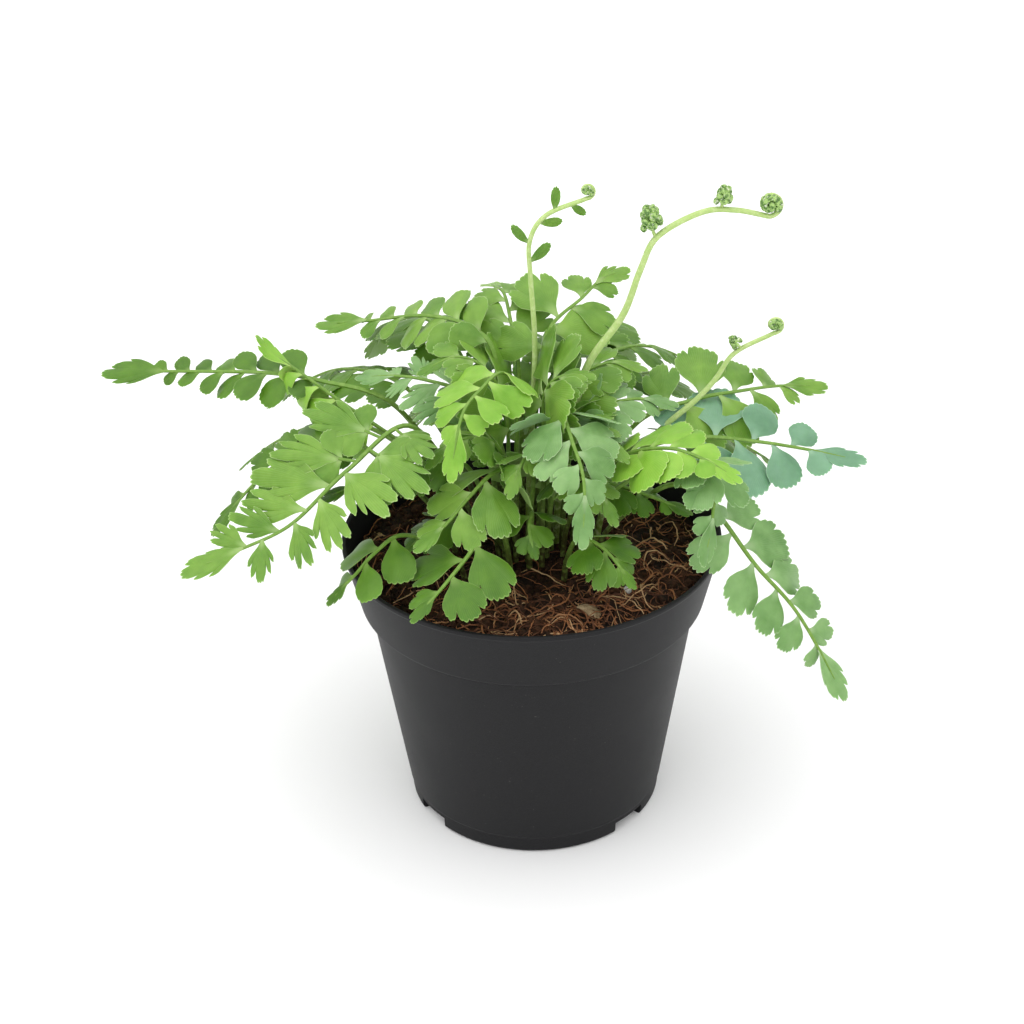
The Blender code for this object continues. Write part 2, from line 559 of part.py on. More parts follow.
class Frond:
    """One frond's stalk, the places of its pinnae, and how far each pinna has grown."""

    def __init__(self, row):
        self.spec = dict(zip(FROND_KEYS, row))
        self.line = stalk_line(self.spec)
        self.count = 2 * self.spec["pairs"]
        bare = self.spec["bare"]
        self.stations = [0.0, 0.33 * bare, 0.66 * bare]
        self.stations += list(np.linspace(bare, TERMINAL_START, self.count + 1))
        self.stations += list(TERMINAL_STATIONS)
        picks = np.round(np.asarray(self.stations) * (len(self.line) - 1)).astype(int)
        self.centre = self.line[picks]
        self.tangent, self.across, self.normal = (v[picks] for v in frames(self.line, self.spec["roll"]))
        self.grown = [0.0] * self.count

    def strip(self):
        """The stalk's corner points, widening into the terminal lobe at its end."""
        lobe = TERMINAL_LOBE * self.spec["span"]
        widths = [STALK_HALF_WIDTH * (1.0 - STALK_TAPER * s) for s in self.stations]
        depths = [STALK_HALF_DEPTH * (1.0 - STALK_TAPER * s) for s in self.stations]
        widths[-3:] = [lobe, 0.7 * lobe, TIP_HALF_WIDTH]
        depths[-3:] = [BLADE_HALF_DEPTH] * 3
        points = []
        for c, b, n, w, d in zip(self.centre, self.across, self.normal, widths, depths):
            points += [c + b * w + n * d, c - b * w + n * d, c - b * w - n * d, c + b * w - n * d]
        return points

    def pinna(self, k, size, points, depth):
        """The rings of point pairs of pinna k, from one side of its foot to the other."""
        i = k + 3
        sign = 1.0 if k % 2 == 0 else -1.0
        place = k / (self.count - 1.0)
        a, z = 4 * i, 4 * i + 4
        feet = ((a, a + 3), (z, z + 3)) if sign > 0.0 else ((a + 1, a + 2), (z + 1, z + 2))
        root = sum(points[p] for pair in feet for p in pair) / 4.0
        angle = math.radians(BASE_ANGLE + (TIP_ANGLE - BASE_ANGLE) * place)
        lift = math.radians(self.spec["fold"])
        outward = self.across[i] * sign * math.cos(lift) + self.normal[i] * math.sin(lift)
        up = self.normal[i] * math.cos(lift) - self.across[i] * sign * math.sin(lift)
        along = self.tangent[i] * math.cos(angle) + outward * math.sin(angle)
        wide = outward * math.cos(angle) - self.tangent[i] * math.sin(angle)
        length = size * pinna_share(place) * self.spec["span"]
        room = 2.0 * np.linalg.norm(self.centre[i + 1] - self.centre[i]) * math.sin(angle)
        breadth = min(1.0, PINNA_ROOM * room / (PINNA_BREADTH * length))
        rings = []
        for x, y in PINNA_OUTLINE[::-1]:
            middle = root + (along * x + wide * y * breadth) * length
            rings.append((middle + up * depth, middle - up * depth))
        return feet, rings

    def grown_so_far(self, k, points):
        """The bare stalk, and the pinnae before pinna k, as separate shapes."""
        faces = []
        for i in range(len(self.stations) - 1):
            a, z = 4 * i, 4 * i + 4
            faces += [(a + j, z + j, z + (j + 1) % 4, a + (j + 1) % 4) for j in range(4)]
        shapes = [(points, faces)]
        shapes += [self.plate(j, self.grown[j], points, 0.0) for j in range(k) if self.grown[j]]
        return shapes

    def plate(self, k, size, points, margin=GAP):
        """Pinna k past its foot, as a plate with a margin round it, for testing its room."""
        feet, rings = self.pinna(k, size, points, BLADE_HALF_DEPTH + margin)
        middle = sum(top + under for top, under in rings) / (2.0 * len(rings))
        foot = sum(points[p] for pair in feet for p in pair) / 4.0
        waist = foot + WAIST * (middle - foot)
        up = 0.5 * (rings[0][0] - rings[0][1])
        loop = [(waist + up, waist - up)]
        grow = 1.0 + margin / (0.5 * size * self.spec["span"])
        loop += [(middle + grow * (top - middle), middle + grow * (under - middle)) for top, under in rings]
        n = len(loop)
        corners = [top for top, _ in loop] + [under for _, under in loop]
        faces = [tuple(range(n)), tuple(range(2 * n - 1, n - 1, -1))]
        faces += [(j, (j + 1) % n, (j + 1) % n + n, j + n) for j in range(n)]
        return corners, faces

    def body(self):
        """Points and faces of the whole frond as one closed body."""
        points = self.strip()
        faces = [(0, 1, 2, 3)]
        last = 4 * len(self.stations) - 4
        faces.append((last + 3, last + 2, last + 1, last))
        for i in range(len(self.stations) - 1):
            a, z = 4 * i, 4 * i + 4
            k = i - 3
            size = self.grown[k] if 0 <= k < self.count else 0.0
            left = size > 0.0 and k % 2 == 0
            right = size > 0.0 and k % 2 == 1
            faces.append((a, z, z + 1, a + 1))
            faces.append((a + 2, z + 2, z + 3, a + 3))
            if not right:
                faces.append((a + 1, z + 1, z + 2, a + 2))
            if not left:
                faces.append((a + 3, z + 3, z, a))
            if left or right:
                feet, rings = self.pinna(k, size, points, BLADE_HALF_DEPTH)
                loop = [feet[0]]
                for top, under in rings:
                    loop.append((len(points), len(points) + 1))
                    points += [top, under]
                loop.append(feet[1])
                tip = len(loop) // 2
                for j in range(len(loop) - 1):
                    if tip not in (j, j + 1):
                        faces.append((loop[j][0], loop[j + 1][0], loop[tip][0]))
                        faces.append((loop[j + 1][1], loop[j][1], loop[tip][1]))
                faces.append((loop[-1][0], loop[0][0], loop[tip][0]))
                faces.append((loop[0][1], loop[-1][1], loop[tip][1]))
                for (p, q), (r, s) in zip(loop, loop[1:]):
                    faces.append((p, q, s, r))
        return points, faces


def tree_of(shapes):
    """One search tree over the faces of several shapes."""
    points, faces = [], []
    for shape_points, shape_faces in shapes:
        shift = len(points)
        points += [tuple(float(v) for v in p) for p in shape_points]
        faces += [tuple(v + shift for v in face) for face in shape_faces]
    return BVHTree.FromPolygons(points, faces)


def grow_fronds(fixed):
    """Grows each pinna to the largest size that leaves its neighbours room."""
    fronds = [Frond(row) for row in FRONDS]
    bodies = {f.spec["name"]: f.body() for f in fronds}
    for f in fronds:
        name = f.spec["name"]
        others = tree_of(fixed + [b for key, b in bodies.items() if key != name])
        points = f.strip()
        for k in range(f.count):
            own = tree_of(f.grown_so_far(k, points))
            for size in PINNA_SIZES:
                pinna = tree_of([f.plate(k, size, points)])
                if not pinna.overlap(others) and not pinna.overlap(own):
                    f.grown[k] = size
                    break
        bodies[name] = f.body()
    return fronds


def shape_of(thing):
    """An object's own points in millimetres and its faces."""
    points = [tuple(v.co / MM) for v in thing.data.vertices]
    return points, [tuple(face.vertices) for face in thing.data.polygons]


def curl_line(start, radius, turns):
    """A flat spiral that rises from its start, turns back over the stalk and tightens."""
    points = []
    for k in range(1, CURL_STEPS + 1):
        share = k / CURL_STEPS
        a = -0.5 * math.pi + 2.0 * math.pi * turns * share
        r = radius * (1.0 - CURL_TIGHTENING * share)
        points.append((start[0] + r * math.cos(a), start[1], start[2] + radius + r * math.sin(a)))
    return points


def make_crozier(row):
    """A young frond: an upright stalk with a coiled tip and a few round buds."""
    spec = dict(zip(CROZIER_KEYS, row))
    stem = stalk_line(spec, STEM_STEPS + 1)
    line = np.vstack([stem, curl_line(stem[-1], spec["curl"], spec["turns"])])
    tangent = np.gradient(line, axis=0)
    tangent /= np.linalg.norm(tangent, axis=1)[:, None]
    flat = np.array([0.0, 1.0, 0.0])
    across = flat - (tangent @ flat)[:, None] * tangent
    across /= np.linalg.norm(across, axis=1)[:, None]
    normal = np.cross(tangent, across)
    points, faces = [], []
    for i, (c, b, n) in enumerate(zip(line, across, normal)):
        share = min(1.0, i / STEM_STEPS)
        r = spec["foot"] + (spec["neck"] - spec["foot"]) * share
        for k in range(CROZIER_SIDES):
            a = 2.0 * math.pi * k / CROZIER_SIDES
            points.append(c + (b * math.cos(a) + n * math.sin(a)) * r)
    for i in range(len(line) - 1):
        for k in range(CROZIER_SIDES):
            n = (k + 1) % CROZIER_SIDES
            p, q = CROZIER_SIDES * i, CROZIER_SIDES * (i + 1)
            faces.append((p + k, p + n, q + n, q + k))
    faces.append(tuple(range(CROZIER_SIDES)))
    last = CROZIER_SIDES * (len(line) - 1)
    faces.append(tuple(range(last + CROZIER_SIDES - 1, last - 1, -1)))
    crozier = add_object(spec["name"], points, faces, material(spec["name"], YOUNG_GREEN, 0.5))
    for share, dx, dz, radius in spec["buds"]:
        x, y, z = resample(stem, [share])[0]
        join(crozier, make_bud(spec["name"] + "_bud", (x + dx, y, z + dz), (x, y, z), radius))
    return crozier


def make_bud(name, place, foot, radius):
    """A rounded bud, drawn out towards its foot on the stalk."""
    bm = bmesh.new()
    bmesh.ops.create_icosphere(bm, subdivisions=2, radius=radius)
    centre = np.array(place)
    down = np.array(foot) - centre
    reach = np.linalg.norm(down)
    down /= reach
    points = []
    for v in bm.verts:
        p = np.array(v.co)
        p[1] *= BUD_SQUASH
        facing = max(0.0, float(p @ down) / radius)
        pulled = p * (1.0 - BUD_DRAW * facing) + down * reach * facing**3
        points.append(centre + pulled)
    faces = [tuple(v.index for v in face.verts) for face in bm.faces]
    bm.free()
    return add_object(name, points, faces, material(name, YOUNG_GREEN, 0.6))


def main():
    clear_scene()
    make_pot()
    soil = make_soil()
    make_rhizome()
    make_grain()
    make_flake()
    fixed = [shape_of(make_crozier(row)) for row in CROZIERS]
    fixed += [shape_of(bpy.data.objects["pot"]), shape_of(soil)]
    for frond in grow_fronds(fixed):
        name = frond.spec["name"]
        points, faces = frond.body()
        add_object(name, points, faces, material(name, GREEN, 0.5))


main()
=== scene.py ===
"""The looks of the potted fern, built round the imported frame.

Lengths in the tables are millimetres and angles degrees, as in the part's own source; meshes are
made in metres. Every stalk follows the route of the plain solid that it replaces.
"""
import math

import bmesh
import bpy
import numpy as np
from mathutils import Matrix, Vector


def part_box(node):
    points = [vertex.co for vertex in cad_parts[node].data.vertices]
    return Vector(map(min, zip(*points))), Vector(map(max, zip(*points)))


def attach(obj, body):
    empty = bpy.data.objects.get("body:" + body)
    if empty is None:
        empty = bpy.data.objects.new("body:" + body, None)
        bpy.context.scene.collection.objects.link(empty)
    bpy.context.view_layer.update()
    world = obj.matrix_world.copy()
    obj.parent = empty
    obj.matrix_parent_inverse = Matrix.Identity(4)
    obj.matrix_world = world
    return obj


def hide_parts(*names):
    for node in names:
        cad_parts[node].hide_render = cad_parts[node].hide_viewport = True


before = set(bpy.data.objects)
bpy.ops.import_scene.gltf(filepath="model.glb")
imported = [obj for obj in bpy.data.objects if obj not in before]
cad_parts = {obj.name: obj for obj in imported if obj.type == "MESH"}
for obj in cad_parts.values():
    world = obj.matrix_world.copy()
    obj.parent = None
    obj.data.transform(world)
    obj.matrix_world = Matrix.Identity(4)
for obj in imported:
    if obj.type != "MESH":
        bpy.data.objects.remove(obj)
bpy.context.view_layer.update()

MM = 0.001

# Camera
CAMERA_TARGET = (-6.0, 0.0, 103.4)
CAMERA_DISTANCE = 650.0
CAMERA_ELEVATION = 30.55
CAMERA_ROLL = -1.25
CAMERA_LENS = 72.63

# Light and floor
WORLD_LOW = 0.50
WORLD_HIGH = 1.40
KEY_STRENGTH = 1.0
KEY_ANGLE = 110.0
FLOOR_SIZE = 8000.0

# Pot, as in the part's source
RIM_RADIUS = 60.0
POT_HEIGHT = 96.0
LIP_HEIGHT = 1.4
LIP_STEP = 0.4
BAND_HEIGHT = 21.0
BAND_FOOT_RADIUS = 55.2
BODY_TOP_RADIUS = 52.4
BODY_FOOT_RADIUS = 41.9
FOOT_HEIGHT = 6.0
FOOT_RADIUS = 41.0
WALL = 1.3
FOOT_RING_WIDTH = 3.4
FLOOR_THICKNESS = 1.3
FLOOR_RAISE = 5.2
PAD_RADIUS = 24.0
POT_SIDES = 192
NOTCH_AZIMUTHS = (47.0, 137.0, 214.0, 317.0)
NOTCH_WIDTH = 13.0
NOTCH_HEIGHT = 4.4
DRAIN_COUNT = 6
DRAIN_RADIUS = 3.0
DRAIN_CIRCLE = 31.0
DRAIN_START = 26.0

# Soil
SOIL_EDGE = 87.0
SOIL_DOME = 3.0
SOIL_ROUGHNESS = 0.8
SOIL_GAP = 0.35
SOIL_RINGS = 90
SOIL_SIDES = 220
ROOT_CLEARANCE = 1.1
CRUMB_COUNT = 1500
FIBRE_COUNT = 620
SCALE_COUNT = 160

# Stalks and leaflets
STALK_SIDES = 10
STALK_RADIUS = 1.0
STALK_TAPER = 0.62
LINE_STEPS = 241
KNEE_ALONG = 0.22
KNEE_RISE = 0.42
LEAF_THICKNESS = 0.24
FOOT_HALF_WIDTH = 0.36
RINGS = (0.0, 0.08, 0.18, 0.30, 0.43, 0.56, 0.68, 0.79, 0.88, 0.95, 1.0)
TOOTH_STEPS = 5
TERMINAL_START = 0.86
TERMINAL_OVERLAP = 0.01
SPLIT_PLACE = 0.3

FRONDS = (
    ("frond_left_long", (205, 17),
     ((-36, -6, 138), (-55, -18, 130), (-72, -27, 117), (-87, -31, 111), (-106, -35, 105)),
     -24, 18, 29, 6, 0.40),
    ("frond_left_far", (166, 20),
     ((-42, 12, 136), (-65, 16, 143), (-81, 20, 144), (-100, 26, 142), (-137, 36, 138)),
     -25, 4, 16, 7, 0.50),
    ("frond_left_curled", (178, 19),
     ((-36, 2, 124), (-57, 9, 138), (-72, 16, 147), (-79, 19, 151), (-84, 21, 157)),
     0, -20, 15, 5, 0.52),
    ("frond_left_high", (147, 12),
     ((-10, 9, 152), (-17, 16, 160), (-32, 32, 157), (-51, 44, 150), (-69, 55, 144)),
     -32, 4, 18, 6, 0.46),
    ("frond_crown_top", (60, 9),
     ((4, 9, 148), (7, 15, 160), (17, 25, 165), (24, 33, 168), (33, 42, 167)),
     30, 0, 21, 3, 0.64),
    ("frond_crown_back", (105, 10),
     ((-3, 14, 148), (-5, 21, 159), (-7, 32, 164), (-10, 42, 162), (-12, 56, 157)),
     0, -5, 18, 4, 0.56),
    ("frond_right_back", (48, 14),
     ((13, 17, 132), (19, 24, 141), (28, 33, 143), (41, 45, 138), (58, 59, 124)),
     10, -8, 17, 5, 0.42),
    ("frond_centre_bright", (228, 7),
     ((-4, -6, 148), (-8, -13, 159), (-14, -19, 157), (-20, -27, 152), (-24, -38, 136)),
     0, -6, 15, 4, 0.62),
    ("frond_centre_fan", (330, 7),
     ((4, -5, 142), (6, -6, 151), (11, -8, 155), (20, -10, 155)),
     34, 6, 26, 2, 0.80),
    ("frond_front_centre", (283, 13),
     ((5, -16, 140), (9, -21, 149), (12, -31, 145), (15, -42, 137), (14, -54, 122)),
     0, -6, 19, 5, 0.50),
    ("frond_front_left", (236, 15),
     ((-7, -17, 127), (-12, -23, 130), (-19, -30, 126), (-26, -37, 121), (-35, -45, 117)),
     -6, -6, 19, 4, 0.42),
    ("frond_front_rim", (252, 22),
     ((-9, -28, 112), (-14, -35, 117), (-20, -43, 113), (-28, -53, 108), (-36, -61, 103)),
     0, -6, 19, 3, 0.50),
    ("frond_left_rim", (219, 27),
     ((-30, -22, 106), (-40, -27, 112), (-48, -33, 109), (-53, -37, 105), (-62, -43, 98)),
     0, -6, 15, 3, 0.50),
    ("frond_right_bright", (322, 12),
     ((18, -14, 122), (28, -18, 133), (40, -27, 140), (50, -34, 140), (61, -41, 136)),
     20, 0, 17, 4, 0.42),
    ("frond_right_trailing", (338, 21),
     ((42, -14, 120), (54, -22, 117), (67, -32, 102), (80, -39, 88), (95, -46, 61)),
     22, -4, 20, 6, 0.34),
    ("frond_right_nodding", (330, 16),
     ((27, -17, 122), (45, -22, 132), (54, -30, 134), (53, -38, 124), (50, -46, 110)),
     10, -6, 17, 3, 0.62),
    ("frond_right_blue", (3, 15),
     ((32, 2, 122), (50, 3, 127), (68, 2, 126), (84, 0, 124), (104, -4, 121)),
     26, 0, 18, 5, 0.44),
    ("frond_right_high", (22, 14),
     ((34, 12, 128), (52, 15, 134), (66, 20, 134), (80, 27, 132), (97, 34, 128)),
     24, 0, 17, 5, 0.46),
    ("frond_left_blue", (176, 10),
     ((-15, 3, 138), (-21, 5, 144), (-30, 8, 146), (-40, 12, 146), (-54, 18, 143)),
     -22, 0, 19, 4, 0.54),
    ("frond_left_dark", (190, 24),
     ((-50, 0, 127), (-60, 1, 130), (-71, 0, 128), (-86, -3, 117), (-100, -8, 102)),
     -20, -6, 16, 6, 0.44),
    ("frond_left_middle", (212, 12),
     ((-19, -8, 124), (-29, -11, 130), (-41, -12, 127), (-54, -10, 120), (-66, -7, 113)),
     -14, -6, 17, 4, 0.44),
    ("frond_front_right_rim", (296, 22),
     ((13, -27, 109), (17, -32, 112), (23, -38, 110), (30, -46, 103)),
     6, -6, 16, 3, 0.48),
    ("frond_front_inner", (266, 14),
     ((0, -19, 112), (0, -24, 117), (-1, -31, 115), (1, -38, 109)),
     0, -6, 14, 2, 0.55),
    ("frond_right_inner", (346, 13),
     ((18, -7, 117), (25, -11, 119), (37, -16, 117), (49, -20, 113)),
     14, -6, 12, 3, 0.50),
    ("frond_centre_right", (340, 10),
     ((14, -4, 136), (21, -4, 142), (33, -1, 143), (46, 2, 139)),
     20, 0, 17, 4, 0.58),
    ("frond_rear_right", (72, 16),
     ((10, 27, 126), (16, 40, 141), (24, 60, 140), (31, 80, 126), (36, 98, 106)),
     0, -6, 19, 6, 0.38),
    ("frond_rear_middle", (96, 18),
     ((-3, 30, 128), (-5, 48, 139), (-8, 70, 134), (-9, 90, 120), (-8, 110, 100)),
     0, -6, 20, 7, 0.36),
    ("frond_rear_left", (120, 16),
     ((-16, 26, 132), (-26, 42, 146), (-38, 62, 143), (-48, 80, 130), (-54, 98, 110)),
     0, -6, 19, 6, 0.38),
    ("frond_rear_far_left", (141, 21),
     ((-29, 24, 122), (-42, 36, 132), (-60, 50, 130), (-76, 64, 118), (-90, 78, 102)),
     0, -6, 18, 6, 0.38),
    ("frond_rear_far_right", (54, 21),
     ((22, 28, 118), (30, 40, 127), (42, 54, 124), (53, 68, 111), (62, 82, 94)),
     0, -6, 18, 6, 0.38),
    ("frond_right_low", (30, 21),
     ((28, 16, 112), (40, 22, 118), (56, 30, 115), (72, 38, 104), (86, 46, 90)),
     0, -6, 17, 5, 0.40),
    ("frond_rear_low_left", (156, 25),
     ((-37, 18, 114), (-52, 26, 121), (-68, 36, 117), (-84, 45, 106), (-98, 52, 92)),
     0, -6, 17, 6, 0.40),
    ("frond_rear_low_right", (84, 24),
     ((4, 36, 112), (7, 50, 118), (11, 66, 113), (15, 80, 102), (18, 92, 88)),
     0, -6, 17, 5, 0.40),
    ("frond_rear_low_middle", (110, 25),
     ((-13, 37, 111), (-20, 50, 116), (-28, 66, 111), (-35, 80, 100), (-40, 92, 87)),
     0, -6, 17, 5, 0.40),
    ("frond_inner_left", (240, 10),
     ((-7, -12, 126), (-12, -16, 138), (-22, -18, 139), (-32, -20, 131)),
     -8, -6, 15, 3, 0.52),
    ("frond_inner_front", (262, 9.5),
     ((1, -13, 124), (0, -20, 135), (-3, -28, 136), (-7, -36, 129)),
     0, -6, 15, 3, 0.52),
    ("frond_inner_front_right", (300, 9),
     ((8, -12, 122), (14, -20, 128), (20, -29, 127), (25, -38, 120)),
     6, -6, 14, 3, 0.50),
    ("frond_inner_left_back", (130, 7),
     ((-10, 11, 124), (-20, 18, 132), (-28, 21, 131), (-37, 23, 122)),
     -10, -6, 15, 3, 0.48),
    ("frond_inner_back", (85, 11.5),
     ((2, 13, 128), (4, 21, 140), (6, 30, 146), (8, 41, 143)),
     0, -6, 16, 3, 0.54),
    ("frond_inner_low_left", (226, 11),
     ((-14, -11, 104), (-22, -15, 110), (-31, -19, 109), (-40, -24, 103)),
     -8, -6, 14, 3, 0.42),
    ("frond_crown_left", (200, 7.5),
     ((-7, 2, 138), (-13, 3, 152), (-22, 2, 157), (-34, -1, 153)),
     -14, -4, 17, 3, 0.60),
    ("frond_crown_right", (40, 7),
     ((8, 3, 136), (15, 6, 147), (25, 8, 151), (37, 9, 148)),
     12, -4, 16, 3, 0.60),
    ("frond_crown_front", (285, 6.8),
     ((6, -8, 134), (11, -13, 141), (20, -20, 142), (29, -27, 135)),
     8, -6, 15, 3, 0.56),
)
FROND_KEYS = ("name", "seat", "route", "roll", "fold", "span", "pairs", "bare")

CROZIERS = (
    ("crozier_tall", (12, 8),
     ((14, 0, 140), (18, -2, 156), (28, -3, 172), (33, -4, 187), (38, -3, 197), (51, 0, 203),
      (61, 1, 203), (71, 3, 200)),
     1.5, 0.8, 3.8, 1.35, ((0.755, -1.6, 6.5, 4.0), (0.90, 0.5, 4.4, 3.0))),
    ("crozier_left", (98, 6),
     ((1, 8, 135), (2, 9, 158), (1, 10, 179), (1, 10, 191), (6, 10, 199), (18, 10, 204)),
     1.2, 0.7, 2.4, 1.1, ((0.80, -3.4, 1.6, 2.4), (0.88, -0.4, 3.2, 2.2))),
    ("crozier_right", (12, 21),
     ((38, 8, 124), (52, 11, 136), (58, 13, 142), (64, 15, 150), (76, 16, 156)),
     1.2, 0.7, 2.8, 1.25, ((0.88, -2.4, 2.4, 2.2),)),
)
CROZIER_KEYS = ("name", "seat", "route", "foot", "neck", "curl", "turns", "buds")
COIL_BEADS = 30
BUD_BEADS = 13
CROZIER_STEPS = 121

# Open leaflets of crozier_left, in place of its buds: (share along its stalk, side, length)
YOUNG_LEAFLETS = ((0.76, -1, 8.5), (0.81, 1, 7.5), (0.87, -1, 7.5), (0.92, 1, 7.0), (0.96, -1, 6.0))

# Leaflet forms. spread: half angle of the fan; side: margin radius at the sides; power: how late
# the margin falls to the sides; cuts: (place, depth, width); tooth: height of a scallop; waist:
# how narrow the foot is; bend: turn of the blade along its length in radians; cup: fall of sides.
FORMS = {
    "fan": dict(spread=35, side=0.58, power=2.6, cuts=((-0.46, 0.20, 0.22), (0.36, 0.16, 0.20)),
                teeth=13, tooth=0.045, waist=0.44, bend=0.45, cup=0.35),
    "cut": dict(spread=29, side=0.50, power=1.7,
                cuts=((-0.62, 0.34, 0.24), (-0.22, 0.30, 0.22), (0.24, 0.34, 0.24), (0.64, 0.36, 0.24)),
                teeth=17, tooth=0.035, waist=0.50, bend=0.35, cup=0.3),
    "oval": dict(spread=30, side=0.58, power=2.8, cuts=(), teeth=9, tooth=0.035, waist=0.50,
                 bend=0.4, cup=0.4),
    "round": dict(spread=39, side=0.60, power=2.6, cuts=(), teeth=11, tooth=0.040, waist=0.42,
                  bend=0.4, cup=0.4),
    "oblong": dict(spread=27, side=0.62, power=3.6, cuts=((0.12, 0.12, 0.30),), teeth=7,
                   tooth=0.045, waist=0.45, bend=0.5, cup=0.5),
    "curled": dict(spread=26, side=0.60, power=3.2, cuts=((0.2, 0.10, 0.25),), teeth=9,
                   tooth=0.04, waist=0.40, bend=2.3, cup=0.6),
    "lance": dict(spread=18, side=0.42, power=2.0, cuts=(), teeth=7, tooth=0.05, waist=0.60,
                  bend=0.5, cup=0.5),
    "flake": dict(spread=38, side=0.7, power=2.0, cuts=((0.3, 0.2, 0.15),), teeth=7, tooth=0.12,
                  waist=0.7, bend=0.5, cup=0.5),
    "tip": dict(spread=24, side=0.46, power=1.6,
                cuts=((-0.66, 0.20, 0.20), (-0.26, 0.12, 0.16), (0.34, 0.15, 0.18), (0.72, 0.20, 0.20)),
                teeth=13, tooth=0.035, waist=0.66, bend=0.2, cup=0.3),
}

# How each frond is dressed: leaf finish and form of its side leaflets. first is where they start
# along the stalk and pairs how many there are, where those differ from the plain solid. A side is
# the leaflets' length as a share of the span, and their angles at the blade's foot and at its tip.
STYLES = {
    "frond_left_long": dict(finish="sage", form="cut", left=(1.0, 92, 66), right=(1.05, 64, 45)),
    "frond_left_far": dict(finish="deep", form="oval", left=(0.85, 50, 35), right=(0.85, 50, 35)),
    "frond_left_curled": dict(finish="bright", form="curled", left=(1.3, 70, 50), right=(1.3, 70, 50)),
    "frond_left_high": dict(finish="sage", form="oval", left=(0.95, 50, 35), right=(0.90, 45, 32)),
    "frond_crown_top": dict(finish="sage", form="fan", first=0.56, left=(1.05, 85, 45), right=(1.0, 70, 45)),
    "frond_crown_back": dict(finish="sage", form="fan"),
    "frond_centre_bright": dict(finish="bright", form="oblong", left=(1.1, 90, 65), right=(1.2, 78, 50)),
    "frond_centre_fan": dict(finish="sage", form="fan", first=0.68, pairs=4, left=(1.15, 120, 55),
                             right=(1.0, 95, 40)),
    "frond_front_centre": dict(finish="blue", form="fan", first=0.46, left=(1.05, 75, 42),
                               right=(1.0, 85, 42)),
    "frond_front_left": dict(finish="sage", form="fan", pairs=3, left=(1.2, 75, 50), right=(1.2, 65, 48)),
    "frond_front_rim": dict(finish="deep", form="fan", pairs=2, left=(1.3, 60, 48), right=(1.25, 75, 55)),
    "frond_left_rim": dict(finish="deep", form="oval", pairs=2, left=(1.3, 60, 45), right=(1.3, 70, 55)),
    "frond_right_bright": dict(finish="bright", form="round", first=0.46, pairs=5),
    "frond_right_trailing": dict(finish="blue", form="fan", first=0.44, pairs=5, left=(1.05, 80, 45),
                                 right=(0.95, 85, 40)),
    "frond_right_nodding": dict(finish="blue", form="fan", first=0.54, pairs=4),
    "frond_right_blue": dict(finish="teal", form="round", pairs=4, left=(1.2, 90, 60),
                             right=(1.2, 65, 48)),
    "frond_right_high": dict(finish="sage", form="fan", pairs=4, left=(1.25, 80, 45),
                             right=(1.25, 75, 50)),
    "frond_left_blue": dict(finish="blue", form="cut", first=0.46),
    "frond_centre_right": dict(finish="blue", form="fan", first=0.48),
}
INNER = ("inner_left", "inner_front", "inner_front_right", "inner_left_back", "inner_back")
CROWN = ("crown_left", "crown_right", "crown_front")
for names, first, side in ((INNER, 0.40, (1.1, 72, 45)), (CROWN, 0.46, (1.35, 85, 50))):
    for name in names:
        STYLES["frond_" + name] = dict(finish="sage", form="fan", first=first, pairs=4,
                                       left=side, right=side)
# Fronds without a style of their own, mostly low, inner and rear ones, take the darkest finish: partly older
# leaves, partly painted shade under the canopy.
PLAIN_STYLE = dict(finish="deep", form="fan")
PLAIN_SIDE = (1.0, 62, 42)
BLUE_SLOT = ("frond_front_centre", "frond_right_trailing", "frond_right_nodding",
             "frond_right_blue", "frond_left_blue", "frond_centre_right")
YOUNG_SLOT = ("frond_left_curled", "frond_centre_bright", "frond_centre_fan", "frond_right_bright")

# Leaf finishes, as display colours: shaded green, lit green, margin, underside
FINISHES = {
    "sage": ((64, 114, 8), (126, 166, 62), (188, 212, 146), (140, 172, 94)),
    # darkest finish, for low, inner and rear fronds: partly older leaves, partly painted shade under the
    # canopy
    "deep": ((46, 88, 2), (92, 136, 28), (156, 186, 102), (114, 150, 66)),
    "blue": ((74, 122, 48), (142, 180, 114), (190, 214, 166), (150, 184, 132)),
    "teal": ((74, 122, 84), (126, 168, 136), (176, 206, 176), (146, 180, 152)),
    "bright": ((92, 148, 10), (148, 194, 72), (202, 226, 142), (164, 196, 98)),
}


# Shared geometry

def soil_height(x, y):
    """Height of the soil's uneven top at a point."""
    dome = SOIL_DOME * (1.0 - (x * x + y * y) / RIM_RADIUS**2)
    lumps = np.sin(0.21 * x + 0.6) * np.cos(0.17 * y) + 0.6 * np.sin(0.35 * y - 0.25 * x)
    return SOIL_EDGE + dome + SOIL_ROUGHNESS * lumps


def wall_inside(z):
    """Inner radius of the pot's wall at a height."""
    band_foot = POT_HEIGHT - BAND_HEIGHT
    if z >= band_foot:
        share = (z - band_foot) / BAND_HEIGHT
        return BAND_FOOT_RADIUS - WALL + (RIM_RADIUS - BAND_FOOT_RADIUS) * share
    share = (z - FOOT_HEIGHT) / (band_foot - FOOT_HEIGHT)
    return BODY_FOOT_RADIUS - WALL + (BODY_TOP_RADIUS - BODY_FOOT_RADIUS) * share


def resample(line, shares):
    """Points at the given shares of a polyline's length."""
    steps = np.linalg.norm(np.diff(line, axis=0), axis=1)
    along = np.concatenate([[0.0], np.cumsum(steps)])
    wanted = np.asarray(shares) * along[-1]
    return np.stack([np.interp(wanted, along, line[:, k]) for k in range(3)], axis=1)


